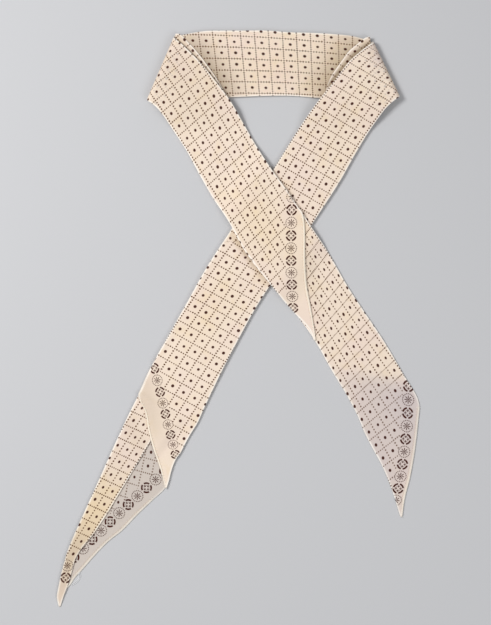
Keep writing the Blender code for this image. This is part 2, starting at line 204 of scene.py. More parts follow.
def ripple(x, y):
    """Slight unevenness, from 0 to 1: broad waves of pressed cloth under small puckers of its bias."""
    broad = np.sin(x / 13.0 + y / 29.0) + np.sin(y / 17.0 - x / 23.0 + 1.3)
    small = np.sin(0.61 * x + 0.23 * y + 1.7 * np.sin(0.11 * y)) * np.sin(0.17 * x - 0.49 * y)
    return 0.5 + 0.1875 * broad + 0.125 * small


def crease_height(creases, x, y):
    """Soft troughs along the creases. They wander a little and fade out at both ends."""
    height = np.zeros_like(x)
    for crease in creases:
        line = np.array((crease.to_x - crease.from_x, crease.to_y - crease.from_y))
        length = np.linalg.norm(line)
        along = ((x - crease.from_x) * line[0] + (y - crease.from_y) * line[1]) / length
        aside = ((y - crease.from_y) * line[0] - (x - crease.from_x) * line[1]) / length
        aside = aside + crease.width * 0.5 * np.sin(along / length * 5.0 + crease.from_x)
        taper = ease(along / (0.3 * length)) * ease((length - along) / (0.35 * length))
        height -= crease.depth * taper * np.exp(-((aside / crease.width) ** 2))
    return height


def edge_layers(layers):
    """Stops up one edge: share of the thickness, share of the groove's depth, layer number."""
    stops = []
    for layer in range(layers):
        shape = TOP_LAYER_ROUND if layer == layers - 1 else LAYER_ROUND
        stops.extend(((layer + rise) / layers, inset, layer) for rise, inset in shape)
    return [np.array(column) for column in zip(*stops)]


def layer_offset(run, layer, layers, phase):
    """How far a layer's fold lies inside the outermost one. It wanders slowly along the band."""
    on_top = layer == layers - 1
    wander = np.sin(run / 41.0 + 2.3 * layer + phase) * np.sin(run / 17.0 + 1.1 * layer + 2.0 * phase)
    return np.where(on_top, 0.0, 0.25) + LAYER_WANDER * np.where(on_top, 0.12, 1.0) * wander ** 2


def step_back(step, layer, layers, start):
    """How far the top layer lies back from the others along one stretch of an edge."""
    strength = ease((start[1] - step.low_y) / step.fade) * ease((step.high_y - start[1]) / step.fade)
    return np.where(layer == layers - 1, step.back * strength, 0.0)


def read_between(sections):
    """Reads a smooth curve through the sections, with a row about every ROW_STEP."""
    edges = np.array([section[:4] for section in sections], float)
    values = np.array([section[4:] for section in sections], float)
    middle = (edges[:, :2] + edges[:, 2:]) / 2.0
    steps = np.linalg.norm(np.diff(middle, axis=0), axis=1)
    runs = np.concatenate(([0.0], np.cumsum(steps)))
    slopes = np.gradient(edges, runs, axis=0, edge_order=1)
    rows = []
    for index, step in enumerate(steps):
        count = max(1, round(step / ROW_STEP))
        for part in range(count):
            share = part / count
            lead = share * (1.0 - share) ** 2
            trail = share * share * (share - 1.0)
            edge = edges[index] * (1.0 - ease(share)) + edges[index + 1] * ease(share)
            edge = edge + step * (slopes[index] * lead + slopes[index + 1] * trail)
            value = values[index] * (1.0 - share) + values[index + 1] * share
            rows.append((runs[index] + step * share, Section(*edge, *value)))
    rows.append((runs[-1], sections[-1]))
    return rows


class ClothSkin:
    """The closed outer skin of one stretch of folded cloth, built ring by ring."""

    def __init__(self, name, layers, widest, phase, rest=flat_rest, creases=(), steps=()):
        self.name = name
        self.layers = layers
        self.phase = phase
        self.rest = rest
        self.creases = creases
        self.steps = steps
        self.side = edge_layers(layers)
        self.middle_count = max(4, round((widest - 2.0 * RIM_WIDTH) / TOP_STEP))
        self.rings = []
        self.flats = []
        self.insides = []
        self.hems = []

    def add_ring(self, start, end, up, thick, lift, hems, run,
                 rippled=1.0, flat_shift=(0.0, 0.0), open_edge=1.0):
        """One section's points, from the start edge along the underside and back over the top."""
        start = np.array(start, float)
        span = np.array(end, float) - start
        width = float(np.linalg.norm(span))
        along = span / width
        squeeze = min(1.0, width / NARROW_WIDTH)
        slim = squeeze * min(1.0, thick / BAND_THICK) * open_edge

        share, depth, layer = self.side
        grooves = depth * (GROOVE_DEPTH * slim)
        far = layer_offset(run, layer, self.layers, self.phase + 2.1) * slim + grooves
        near = layer_offset(run, layer, self.layers, self.phase) * slim + grooves
        for step in self.steps:
            near = near + step_back(step, layer, self.layers, start)
        near_lip = near[-1] - grooves[-1]
        far_lip = far[-1] - grooves[-1]

        under = np.linspace(CORNER_INSET * squeeze, width - CORNER_INSET * squeeze, UNDER_POINTS)
        insets, drops, rises = (np.array(column) for column in zip(*TOP_ROUND))
        insets = insets * squeeze
        middle = np.linspace(insets[-1], width - insets[-1], self.middle_count + 2)[1:-1]
        zeros = 0.0 * middle
        top_across = np.concatenate((near_lip + insets, middle + near_lip * (1.0 - middle / width),
                                     (width - far_lip - insets)[::-1]))
        top_height = thick - thick / self.layers * np.concatenate((drops, zeros, drops[::-1]))
        top_rise = np.concatenate((rises * hems[0], zeros, (rises * hems[1])[::-1])) * math.sqrt(squeeze)
        x, y = (start[:2] + np.outer(top_across, along[:2])).T
        dip = RIPPLE_DEPTH * rippled * ripple(x, y)
        dent = np.maximum(rippled * crease_height(self.creases, x, y), -DEEPEST_DENT * thick)
        dent = dent * np.concatenate((insets, zeros + RIM_WIDTH, insets[::-1])) / RIM_WIDTH
        top_height = top_height * (1.0 - dip) + top_rise + dent

        side_height = thick * share
        across = np.concatenate((under, width - far, top_across[::-1], near[::-1]))
        height = np.concatenate((0.0 * under, side_height, top_height[::-1], side_height[::-1]))
        points = start + np.outer(across, along) + np.outer(height, up)
        points[:, 2] += self.rest(points[:, 0], points[:, 1], lift)

        # The same points with the cloth unrolled: on the print's plane, and in from each edge
        hang = thick - side_height
        flat_across = np.concatenate((under, width + hang, top_across[::-1], -hang[::-1]))
        flat_way = along[:2] / np.linalg.norm(along[:2])
        inside = np.stack((flat_across, width - flat_across), axis=1)
        from_hem = (np.abs(inside) / squeeze + FAR_FROM_HEM * (1.0 - np.array(hems))).min(axis=1)
        from_hem[:UNDER_POINTS] = FAR_FROM_HEM
        self.rings.append(points)
        self.flats.append(start[:2] + np.outer(flat_across, flat_way) + np.array(flat_shift))
        self.insides.append(inside)
        self.hems.append(from_hem)

    def add_sections(self, sections, hem_side):
        """Rings of the part that lies flat or drapes over what is under it."""
        for run, section in read_between(sections):
            inner = (section.inner_x, section.inner_y, 0.0)
            outer = (section.outer_x, section.outer_y, 0.0)
            hems = (section.hem, 0.0) if hem_side == "inner" else (0.0, section.hem)
            self.add_ring(inner, outer, UP, section.thick, section.lift, hems, run)

    def stitch_path(self, hem_side):
        """Places along the inside of the rolled hem, on the cloth's top."""
        before_top = UNDER_POINTS + len(self.side[0])
        top_count = 2 * len(TOP_ROUND) + self.middle_count
        index = before_top + (top_count - 1 - STITCH_LINE if hem_side == "inner" else STITCH_LINE)
        pairs = zip(self.rings, self.hems)
        return np.array([ring[index] for ring, from_hem in pairs if from_hem[index] < HEMMED_WITHIN])


def trellis_cells(chart, flat):
    """Cell numbers of the printed trellis at each place: whole numbers at the spots."""
    straight = (flat - np.array(chart.dot)) @ np.linalg.inv(np.array((chart.along, chart.across)))
    i = straight[..., 0]
    j = straight[..., 1]
    near_fold = np.minimum(i - chart.fold_from, 0.0) ** 2
    bent_i = i + chart.lean * i * j - chart.fold_crowd * near_fold
    bent_j = j + (chart.bow * i ** 2 + chart.twist * i * j) + chart.fold_curl * near_fold
    return np.stack((bent_i, bent_j), axis=-1)


def spot_places(chart, flat):
    """The middle of the trellis cell that each place lies in."""
    numbers = np.round(trellis_cells(chart, flat))
    i = numbers[..., 0]
    j = numbers[..., 1]
    straight = np.stack((i - chart.lean * i * j, j - (chart.bow * i ** 2 + chart.twist * i * j)), axis=-1)
    return np.array(chart.dot) + straight @ np.array((chart.along, chart.across))


def border_places(row, flat):
    """Number along the border's row of rosettes, and distance towards the hem, both in rosettes."""
    first = np.array(row.first)
    chord = np.array(row.last) - first
    length = np.linalg.norm(chord)
    pitches = row.last_number - row.first_number
    along = (flat - first) @ chord / length ** 2
    aside = ((flat - first) @ np.array((-chord[1], chord[0]))) / length * row.hem_side
    arch = 4.0 * along * (1.0 - along)
    number = row.first_number + pitches * along + row.crowd * arch
    drift = (aside - row.bow * arch) * pitches / length
    drift = np.where(number < row.first_number - row.reach, -OFF_ROW, drift)
    drift = np.where(number > row.last_number + ROW_OVERRUN, OFF_ROW, drift)
    return np.stack((number, drift), axis=-1)


def within(patch, places):
    """Places along and aside of a turned patch, in shares of its length and width."""
    turn = math.radians(patch.turn)
    x = places[:, 0] - patch.x
    y = places[:, 1] - patch.y
    along = (x * math.cos(turn) + y * math.sin(turn)) / patch.length
    aside = (y * math.cos(turn) - x * math.sin(turn)) / patch.width
    return along, aside


def patch_tones(patches, places, greyness):
    """Shade, warmth and greyness of soft patches over cloth of this greyness: stains, and painted shade
    where shadow falls.
    """
    tones = np.zeros((len(places), 4), np.float32)
    tones[:, 3] = 1.0
    for patch in patches:
        along, aside = within(patch, places)
        strength = np.exp(-np.minimum(np.abs(along), 3.0) ** patch.ends - aside ** 2)
        tones[:, :3] += np.outer(strength, (patch.shade, patch.warmth, patch.greyness))
    tones[:, 2] += greyness
    return np.clip(tones, 0.0, 1.0)


def print_flags(chart, border, veils, flat, places, hems):
    """Where print looks joined, where spots show, how near a hem is, and where lower layers show."""
    flags = np.zeros((len(places), 4), np.float32)
    flags[:, 1] = 1.0
    if border:
        drift = border_places(border, spot_places(chart, flat))[:, 1] * ROSETTE_PITCH
        flags[:, 1] = drift < -border.spots_end
    flags[:, 2] = np.clip(1.0 - hems / HEM_MAP_REACH, 0.0, 1.0)
    for veil in veils:
        strength = ease(2.0 - 1.4 * np.hypot(*within(veil, places)))
        flags[:, 0] = np.maximum(flags[:, 0], strength * veil.joined)
        flags[:, 3] = np.maximum(flags[:, 3], strength * veil.ghost)
    return flags


def on_faces(values):
    """Values at each face's corners. The print turns crisply under an edge, face by face."""
    after = np.roll(values, -1, axis=1)
    for last in (UNDER_POINTS - 1, -1):
        after[:, last] = values[:, last]
    faces = np.stack((values[:-1], after[:-1], after[1:], values[1:]), axis=2).reshape(-1, 2)
    return np.concatenate((faces, values[0][::-1], values[-1]))


def finish_cloth(skin, material, chart, border=None, patches=(), veils=(), greyness=0.0,
                 lower_chart=None, change_y=None):
    """Joins the rings into a closed mesh with its print maps and tones. The print may change to a
    lower chart at change_y, where another stretch hides the change."""
    rings = np.array(skin.rings)
    flats = np.array(skin.flats)
    rows, size = rings.shape[:2]
    numbers = np.arange(rows * size).reshape(rows, size)
    after = np.roll(numbers, -1, axis=1)
    quads = np.stack((numbers[:-1], after[:-1], after[1:], numbers[1:]), axis=-1).reshape(-1, 4)
    caps = [numbers[0][::-1].tolist(), numbers[-1].tolist()]
    points = rings.reshape(-1, 3)
    placed = (points + (0.0, CENTRE_SHIFT_Y, 0.0)) * MILLIMETRE
    mesh = bpy.data.meshes.new(skin.name)
    mesh.from_pydata([tuple(point) for point in placed], [], quads.tolist() + caps)

    face_flats = on_faces(flats)
    field = trellis_cells(chart, face_flats)
    if lower_chart:
        lower_field = trellis_cells(lower_chart, face_flats)
        field = np.where(face_flats[:, 1:] > change_y, field, lower_field)
    maps = {
        "PrintField": field,
        "PrintBorder": border_places(border, face_flats) if border else face_flats * 0.0 - OFF_ROW,
        "EdgeDistance": on_faces(np.array(skin.insides)) * EDGE_MAP_SCALE,
    }
    for name, values in maps.items():
        layer = mesh.uv_layers.new(name=name)
        layer.data.foreach_set("uv", np.ascontiguousarray(values, np.float32).ravel())
    hems = np.array(skin.hems).ravel()
    colours = {
        "ClothTone": patch_tones(patches, points, greyness),
        "ClothPrint": print_flags(lower_chart or chart, border, veils, flats.reshape(-1, 2), points, hems),
    }
    for name, values in colours.items():
        layer = mesh.attributes.new(name, "FLOAT_COLOR", "POINT")
        layer.data.foreach_set("color", values.ravel())

    mesh.materials.append(material)
    shape = bmesh.new()
    shape.from_mesh(mesh)
    bmesh.ops.triangulate(shape, faces=[face for face in shape.faces if len(face.verts) > 4])
    bmesh.ops.recalc_face_normals(shape, faces=shape.faces)
    shape.to_mesh(mesh)
    shape.free()
    mesh.shade_smooth()
    return add_object(skin.name, mesh)


def fold_frame(fold):
    """The fold line's high end, low end, its direction, and the way the cloth lies from it."""
    high = np.array(fold.high)
    low = np.array(fold.low)
    along = (high - low) / np.linalg.norm(high - low)
    away = np.array((along[1], -along[0]))
    if away @ np.array(fold.low_run) < 0.0:
        away = -away
    return high, low, along, away


def slide(run, along, away):
    """Shift along the fold for each millimetre away from it, of an edge with this direction."""
    return (run @ along) / (run @ away)


def beside_fold(fold):
    """The back band's last section, where it starts to turn over."""
    high, low, along, away = fold_frame(fold)
    upper = high + (away + along * slide(np.array(fold.high_run), along, away)) * TURN_REACH
    lower = low + (away + along * slide(np.array(fold.low_run), along, away)) * TURN_REACH
    return Section(*lower, *upper, BAND_THICK, 0.0, 0.0)


class Signal:
    """The output of a node. Arithmetic with it adds Math nodes to the same tree."""

    def __init__(self, tree, socket):
        self.tree = tree
        self.socket = socket

    def apply(self, operation, *others):
        """Any operation of the Math node, on this signal first."""
        return math_node(self.tree, operation, self, *others)

    def between(self, low, high):
        """From low where the signal is 0 to high where it is 1."""
        return self.apply("MULTIPLY_ADD", high - low, low)

    def __add__(self, other):
        return self.apply("ADD", other)

    def __sub__(self, other):
        return self.apply("SUBTRACT", other)

    def __rsub__(self, other):
        return math_node(self.tree, "SUBTRACT", other, self)

    def __mul__(self, other):
        return self.apply("MULTIPLY", other)

    def __abs__(self):
        return self.apply("ABSOLUTE")

    def __round__(self):
        return self.apply("ROUND")


def feed(socket, value):
    """Links a socket to a signal, or sets it to a plain value."""
    if isinstance(value, Signal):
        value.tree.links.new(value.socket, socket)
    else:
        socket.default_value = value


def feed_inputs(node, **inputs):
    """Feeds the named inputs of a node. Underscores stand for the spaces in a name."""
    for label, value in inputs.items():
        feed(node.inputs[label.replace("_", " ")], value)


def math_node(tree, operation, *values):
    """The result of one Math node."""
    node = tree.nodes.new("ShaderNodeMath")
    node.operation = operation
    for socket, value in zip(node.inputs, values):
        feed(socket, value)
    return Signal(tree, node.outputs[0])


def add_node(tree, kind, settings=(), output=0, **inputs):
    """Adds a node with these settings and named inputs. Returns one of its outputs."""
    node = tree.nodes.new(kind)
    for setting, value in settings:
        setattr(node, setting, value)
    feed_inputs(node, **inputs)
    return Signal(tree, node.outputs[output])


def outputs_of(tree, node):
    """All outputs of a node by name."""
    return {socket.name: Signal(tree, socket) for socket in node.outputs}


def make_group(name, inputs, outputs):
    """An empty shader node group with these sockets, its inputs by name, and its output node."""
    group = bpy.data.node_groups.new(name, "ShaderNodeTree")
    for way, sockets in (("INPUT", inputs), ("OUTPUT", outputs)):
        for label, kind in sockets.items():
            group.interface.new_socket(name=label, in_out=way, socket_type=kind)
    given = outputs_of(group, group.nodes.new("NodeGroupInput"))
    return group, given, group.nodes.new("NodeGroupOutput")


def place_group(tree, group, **inputs):
    """Places a node group and feeds its named inputs. Returns its outputs by name."""
    node = tree.nodes.new("ShaderNodeGroup")
    node.node_tree = group
    feed_inputs(node, **inputs)
    return outputs_of(tree, node)


def soft_step(value, low, high):
    """From 0 where value is at low to 1 at high, smoothly."""
    return add_node(value.tree, "ShaderNodeMapRange", [("interpolation_type", "SMOOTHSTEP")], "Result",
                    Value=value, From_Min=low, From_Max=high)


def blend_colours(share, under, over):
    """The over colour laid on the under colour by a share from 0 to 1."""
    return add_node(share.tree, "ShaderNodeMix", [("data_type", "RGBA")], "Result",
                    Factor=share, A=under, B=over)


def split(vector):
    """The x and y of a vector."""
    node = vector.tree.nodes.new("ShaderNodeSeparateXYZ")
    feed(node.inputs[0], vector)
    return [Signal(vector.tree, socket) for socket in node.outputs[:2]]


def join(x, y, z=0.0):
    """A vector from its parts, the first of which is a signal."""
    return add_node(x.tree, "ShaderNodeCombineXYZ", X=x, Y=y, Z=z)


def smudge(vector, scale, detail=2.0):
    """Soft noise from 0 to 1."""
    return add_node(vector.tree, "ShaderNodeTexNoise", output="Fac", Vector=vector, Scale=scale,
                    Detail=detail, Roughness=0.55)


def chance(x, y, z=0.0):
    """A different steady number from 0 to 1 for each whole-number place."""
    return add_node(x.tree, "ShaderNodeTexWhiteNoise", [("noise_dimensions", "3D")], "Value",
                    Vector=join(x, y, z))


def length_of(x, y):
    """Length of the line from the origin to x, y."""
    return (x * x + y * y).apply("SQRT")


def off_whole(value):
    """Signed distance to the nearest whole number."""
    return value - round(value)


def highest(first, *others):
    """The highest of some signals."""
    for other in others:
        first = first.apply("MAXIMUM", other)
    return first


VECTOR = "NodeSocketVector"
FLOAT = "NodeSocketFloat"
COLOUR = "NodeSocketColor"
CELL_LENGTH = 12.2
CELL_WIDTH = 9.6
SPOT_LENGTH = 1.34
SPOT_WIDTH = 1.12
FINE_DOTS_PER_SIDE = 5.0
ALONG_DOT_RADIUS = 0.67
ACROSS_DOT_RADIUS = 0.60
SPOT_BLUR = 0.16
DOT_BLUR = 0.14


def trellis_group():
    """The printed trellis: lines of fine dots round each cell, with a dark oval spot in its middle."""
    tree, given, made = make_group(
        "printed_trellis", {"Cells": VECTOR, "Joined": FLOAT}, {"Spots": FLOAT, "Fine Dots": FLOAT},
    )
    i, j = split(given["Cells"])
    joined = given["Joined"]
    luck = chance(round(i), round(j))
    other_luck = chance(round(j), round(i), 3.0)
    off_i = (off_whole(i) + luck.between(-0.025, 0.025)) * (CELL_LENGTH / SPOT_LENGTH)
    off_j = (off_whole(j) + other_luck.between(-0.025, 0.025)) * (CELL_WIDTH / SPOT_WIDTH)
    spots = soft_step(other_luck.between(0.90, 1.12) - length_of(off_i, off_j), -SPOT_BLUR, SPOT_BLUR)

    to_along_line = off_whole(j + 0.5) * CELL_WIDTH
    to_across_line = off_whole(i + 0.5) * CELL_LENGTH
    lines = []
    for run, other, cell_size, aside, dot_radius, seed in (
        (i, j, CELL_LENGTH, to_along_line, ALONG_DOT_RADIUS, 7.0),
        (j, i, CELL_WIDTH, to_across_line, ACROSS_DOT_RADIUS, 19.0),
    ):
        count = (run + 0.5) * FINE_DOTS_PER_SIDE
        step = off_whole(count) * (cell_size / FINE_DOTS_PER_SIDE)
        dot_luck = chance(round(count), round(other), seed)
        radius = dot_luck.between(dot_radius - 0.08, dot_radius + 0.08)
        weight = dot_luck.between(0.92, 1.08)
        if run is j:
            step = step * (1.0 - joined)
            radius = radius - joined * 0.22
            weight = weight - joined * 0.58
        gap = radius - length_of(step, aside + dot_luck.between(-0.12, 0.12))
        lines.append(soft_step(gap, -DOT_BLUR, DOT_BLUR) * weight)
    feed_inputs(made, Spots=spots, Fine_Dots=highest(*lines).apply("MINIMUM", 1.0))
    return tree


ROSETTE_PITCH = 11.0
CORE_RADIUS = 0.82
ARC_RADIUS = 4.15
ARC_HALF_WIDTH = 0.79
DIAMOND_REACH = 3.0
DIAMOND_HALF_LINE = 0.28
FULL_TURN = 2.0 * math.pi


def rosette_group():
    """The border's row of rosettes: a dotted wheel with eight rays, then a ring of four arcs."""
    tree, given, made = make_group(
        "border_rosettes", {"Border": VECTOR}, {"Dye": FLOAT, "Open Field": FLOAT},
    )
    run, aside = split(given["Border"])
    number = round(run)
    x = (run - number) * ROSETTE_PITCH
    y = aside * ROSETTE_PITCH
    radius = length_of(x, y)
    angle = y.apply("ARCTAN2", x)

    def inked(inside, blur=0.12):
        return soft_step(inside, -blur, blur)

    def dotted(ring_radius, count, dot_radius):
        turn = off_whole(angle * (count / FULL_TURN)) * (ring_radius * FULL_TURN / count)
        return inked(dot_radius - length_of(turn, radius - ring_radius))

    def dash(inner, outer, half_width, count):
        sideways = off_whole(angle * (count / FULL_TURN)) * radius * (FULL_TURN / count)
        beyond = abs(radius - (inner + outer) / 2.0) - ((outer - inner) / 2.0 - half_width)
        return inked(half_width - length_of(sideways, beyond.apply("MAXIMUM", 0.0)))

    core = inked(CORE_RADIUS - radius, blur=0.14)
    rim = dotted(ring_radius=4.85, count=20.0, dot_radius=0.53) * 0.95
    wheel = highest(rim, core, dash(inner=1.00, outer=3.45, half_width=0.43, count=8.0))
    whole_ring = inked(ARC_HALF_WIDTH - abs(radius - ARC_RADIUS))
    arcs = whole_ring * soft_step(abs((angle * 2.0).apply("SINE")), 0.28, 0.44)
    diamond = inked(DIAMOND_HALF_LINE - abs(abs(x) + abs(y) - DIAMOND_REACH)) * 0.80
    petals = dash(inner=1.00, outer=2.55, half_width=0.60, count=4.0) * 0.95
    ring = highest(arcs, petals, diamond)
    is_ring = abs(off_whole(number * 0.5) * 2.0)
    dye = ring * is_ring + wheel * 0.88 * (1.0 - is_ring)
    feed_inputs(made, Dye=dye, Open_Field=soft_step(y, -4.9, -4.7))
    return tree


THREADS_PER_MILLIMETRE = 2.6
BIAS = 0.7071


def weave_group():
    """Plain weave of fine cotton yarn, with thicker slubs here and there."""
    tree, given, made = make_group("plain_weave", {"Cells": VECTOR}, {"Height": FLOAT, "Slub": FLOAT})
    i, j = split(given["Cells"])
    x = i * CELL_LENGTH
    y = j * CELL_WIDTH
    warp = (x + y) * BIAS
    weft = (x - y) * BIAS
    turn = math.pi * THREADS_PER_MILLIMETRE
    over = (warp * turn).apply("SINE") * (weft * turn).apply("SINE")
    warp_slub = smudge(join(warp * 0.06, weft * 2.0), 1.0)
    weft_slub = smudge(join(warp * 2.0, weft * 0.06, 5.0), 1.0)
    slub = (warp_slub + weft_slub) * 0.5
    feed_inputs(made, Slub=slub, Height=over * 0.25 + slub)
    return tree


def ground_stains_and_light_group():
    """The unprinted cloth: cream cotton with soft stains and painted shade, a painted highlight along its
    folded edges, and a rolled hem with a painted highlight and a painted shadow line.
    """
    tree, given, made = make_group(
        "ground_stains_and_painted_light",
        {"Place": VECTOR, "Thin Layer": COLOUR, "Shade": FLOAT, "Warmth": FLOAT, "Greyness": FLOAT,
         "Edges": VECTOR, "Hem Share": FLOAT},
        {"Colour": COLOUR},
    )
    place = given["Place"]
    shade = given["Shade"]
    colour = blend_colours(soft_step(smudge(place, 26.0, 3.0), 0.42, 0.66), CREAM, PINKISH_CREAM)
    spread = soft_step(smudge(place, 90.0), 0.50, 0.72) * 0.35
    colour = blend_colours((spread + given["Warmth"]).apply("MINIMUM", 1.0), colour, WARM_CREAM)
    # Darken by the patches' shade: painted shade beside folds and overlapping edges, darker tone elsewhere
    colour = blend_colours(shade * 0.9, colour, SHADE_AND_STAIN_BROWN)
    colour = blend_colours(given["Greyness"], colour, given["Thin Layer"])

    from_side, from_other = split(given["Edges"])
    nearest = from_side.apply("MINIMUM", from_other) * (1.0 / EDGE_MAP_SCALE)
    # A painted highlight along the folded edges, of random strength, dimmed where painted shade lies
    rim_highlight = smudge(place, 160.0).between(0.15, 1.05) * (1.0 - shade)
    colour = blend_colours(soft_step(nearest, 1.9, 0.5) * rim_highlight, colour, BRIGHT_RIM)

    # A painted highlight on the rolled hem, weaker on the greyer single layer, then a painted shadow line
    # just inside it
    from_hem = (1.0 - given["Hem Share"]) * HEM_MAP_REACH
    roll = soft_step(from_hem, 2.3, 1.5) * given["Greyness"].between(0.55, 0.20)
    colour = blend_colours(roll, colour, HEM_ROLL_HIGHLIGHT)
    line = soft_step(0.45 - abs(from_hem - 2.5), 0.0, 0.3) * 0.45
    feed_inputs(made, Colour=blend_colours(line, colour, HEM_SHADOW_LINE))
    return tree


def printed_dye_group(trellis_tree, rosettes_tree):
    """Where dye lies: the trellis, the border, and the faint print of the layer below."""
    tree, given, made = make_group(
        "printed_dye",
        {"Cells": VECTOR, "Border": VECTOR, "Place": VECTOR, "Joined": FLOAT, "Spots Shown": FLOAT,
         "See Through": FLOAT, "Greyness": FLOAT},
        {"Fine Dye": FLOAT, "Full Dye": FLOAT, "Layer Below": FLOAT},
    )
    trellis = place_group(tree, trellis_tree, Cells=given["Cells"], Joined=given["Joined"])
    rosettes = place_group(tree, rosettes_tree, Border=given["Border"])
    i, j = split(given["Cells"])
    below = place_group(tree, trellis_tree, Cells=join(i + 0.31, 0.37 - j), Joined=1.0)
    worn = soft_step(smudge(given["Place"], 700.0, 1.0), 0.30, 0.52)
    hold = worn.between(0.88, 1.0)
    pale = given["Greyness"].between(1.0, 0.72)
    fine_dots = trellis["Fine Dots"] * (1.0 - rosettes["Open Field"])
    spots = trellis["Spots"] * given["Spots Shown"] * 0.97
    feed_inputs(
        made,
        Fine_Dye=fine_dots * (hold * pale),
        Full_Dye=highest(spots, rosettes["Dye"] * hold),
        Layer_Below=highest(below["Fine Dots"], below["Spots"]) * given["See Through"],
    )
    return tree


CREAM = (0.800, 0.668, 0.545, 1.0)
PINKISH_CREAM = (0.785, 0.642, 0.545, 1.0)
WARM_CREAM = (0.772, 0.612, 0.412, 1.0)
# A painted highlight for folded edges
BRIGHT_RIM = (0.960, 0.915, 0.840, 1.0)
# A painted highlight on the rolled hem, and a painted shadow line just inside it
HEM_ROLL_HIGHLIGHT = (0.880, 0.780, 0.620, 1.0)
HEM_SHADOW_LINE = (0.520, 0.400, 0.280, 1.0)
# A brown laid on by the patches' shade: painted shade where shadow falls, stain elsewhere
SHADE_AND_STAIN_BROWN = (0.360, 0.280, 0.190, 1.0)
THIN_LAYER = (0.560, 0.490, 0.480, 1.0)
DARK_DYE = (0.052, 0.009, 0.004, 1.0)
FADED_DYE = (0.100, 0.036, 0.008, 1.0)
LAYER_BELOW_DYE = (0.420, 0.370, 0.340, 1.0)
LAYER_BELOW_SHOWS = 0.60

GROUND_STAINS_AND_LIGHT = ground_stains_and_light_group()
PRINTED_DYE = printed_dye_group(trellis_group(), rosette_group())
WEAVE = weave_group()


def new_material(name):
    """A new material, with its node tree and its shader."""
    material = bpy.data.materials.new(name)
    material.use_nodes = True
    return material, material.node_tree, material.node_tree.nodes["Principled BSDF"]


def own_values(tree, label):
    """The four values of one of the cloth's own point colours."""
    attribute = tree.nodes.new("ShaderNodeAttribute")
    attribute.attribute_name = label
    parts = tree.nodes.new("ShaderNodeSeparateColor")
    tree.links.new(attribute.outputs["Color"], parts.inputs[0])
    return [Signal(tree, socket) for socket in list(parts.outputs) + [attribute.outputs["Alpha"]]]


def cotton_material(name, thin_layer, roughness):
    """Matt printed cotton: ground with stains and painted light, print and weave."""
    material, tree, shader = new_material(name)
    place = add_node(tree, "ShaderNodeTexCoord", output="Object")
    cells, border, edges = (
        add_node(tree, "ShaderNodeUVMap", [("uv_map", label)])
        for label in ("PrintField", "PrintBorder", "EdgeDistance")
    )
    shade, warmth, greyness, _ = own_values(tree, "ClothTone")
    joined, spots_shown, hem_share, see_through = own_values(tree, "ClothPrint")
    cloth = place_group(tree, GROUND_STAINS_AND_LIGHT, Place=place, Thin_Layer=thin_layer, Shade=shade,
                        Warmth=warmth, Greyness=greyness, Edges=edges, Hem_Share=hem_share)
    dye = place_group(tree, PRINTED_DYE, Cells=cells, Border=border, Place=place, Joined=joined,
                      Spots_Shown=spots_shown, See_Through=see_through, Greyness=greyness)
    weave = place_group(tree, WEAVE, Cells=cells)

    colour = blend_colours(dye["Layer Below"] * LAYER_BELOW_SHOWS, cloth["Colour"], LAYER_BELOW_DYE)
    colour = blend_colours(dye["Fine Dye"], colour, FADED_DYE)
    colour = blend_colours(dye["Full Dye"], colour, DARK_DYE)
    weave_shade = weave["Slub"].between(0.92, 1.08)
    colour = add_node(tree, "ShaderNodeMix", [("data_type", "RGBA"), ("blend_type", "MULTIPLY")], "Result",
                      Factor=1.0, A=colour, B=join(weave_shade, weave_shade, weave_shade))
    relief = add_node(tree, "ShaderNodeBump", Strength=0.35, Distance=0.00012, Height=weave["Height"])
    feed_inputs(shader, Base_Color=colour, Roughness=roughness, Sheen_Weight=0.02,
                Specular_IOR_Level=0.08, Normal=relief)
    return material


PRINTED_COTTON = cotton_material("printed_cotton", THIN_LAYER, roughness=0.88)

back_sections = [beside_fold(LEFT_FOLD)] + BACK_BAND + [beside_fold(RIGHT_FOLD)]
back_skin = ClothSkin("back_band_cloth", layers=4, widest=62.0, phase=0.3, creases=BACK_CREASES)
back_skin.add_sections(back_sections, "inner")
back_cloth = finish_cloth(back_skin, PRINTED_COTTON, BACK_CHART, patches=BACK_PATCHES)
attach(back_cloth, "root")
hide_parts("back_band")

# The two shoulder plies are inner folds of the same cotton that peep out below each shoulder turn,
# where the neck edge opens. They are held by the turn alone and lie on the back band.
PLY_THICK = 1.0
PLY_LIFT = BAND_THICK + SEAM_GAP
LEFT_PLY_FLAT = (0.016, 0.062)
RIGHT_PLY_FLAT = (0.015, 0.055)

LEFT_PLY = lay(
    PLY_THICK, PLY_LIFT, 0,
    (-55.4, 250.4, -54.4, 243),
    (-52.6, 250.6, -53, 239),
    (-42.5, 241.5, -52.5, 232.5),
    (-34.5, 232.5, -48, 221),
    (-26.5, 222, -41.5, 210.5),
    (-18.5, 210.5, -33.5, 200.5),
    (-12.5, 200.5, -23, 196),
)
RIGHT_PLY = lay(
    PLY_THICK, PLY_LIFT, 0,
    (115.5, 247.8, 116.2, 242.6),
    (113, 247.6, 115.4, 238.5),
    (104.5, 241.5, 111.5, 234),
    (96.5, 234.5, 110.5, 222.5),
    (89.5, 225, 105.5, 213),
    (81, 212, 96.5, 201.5),
    (76.5, 201, 87, 196),
)
LEFT_PLY_CHART = Chart((-39.9, 235.5), (7.3, -9.9), (7.1, 6.5))
RIGHT_PLY_CHART = Chart((102.3, 234.9), (-6.6, -8.9), (8.5, -5.0))
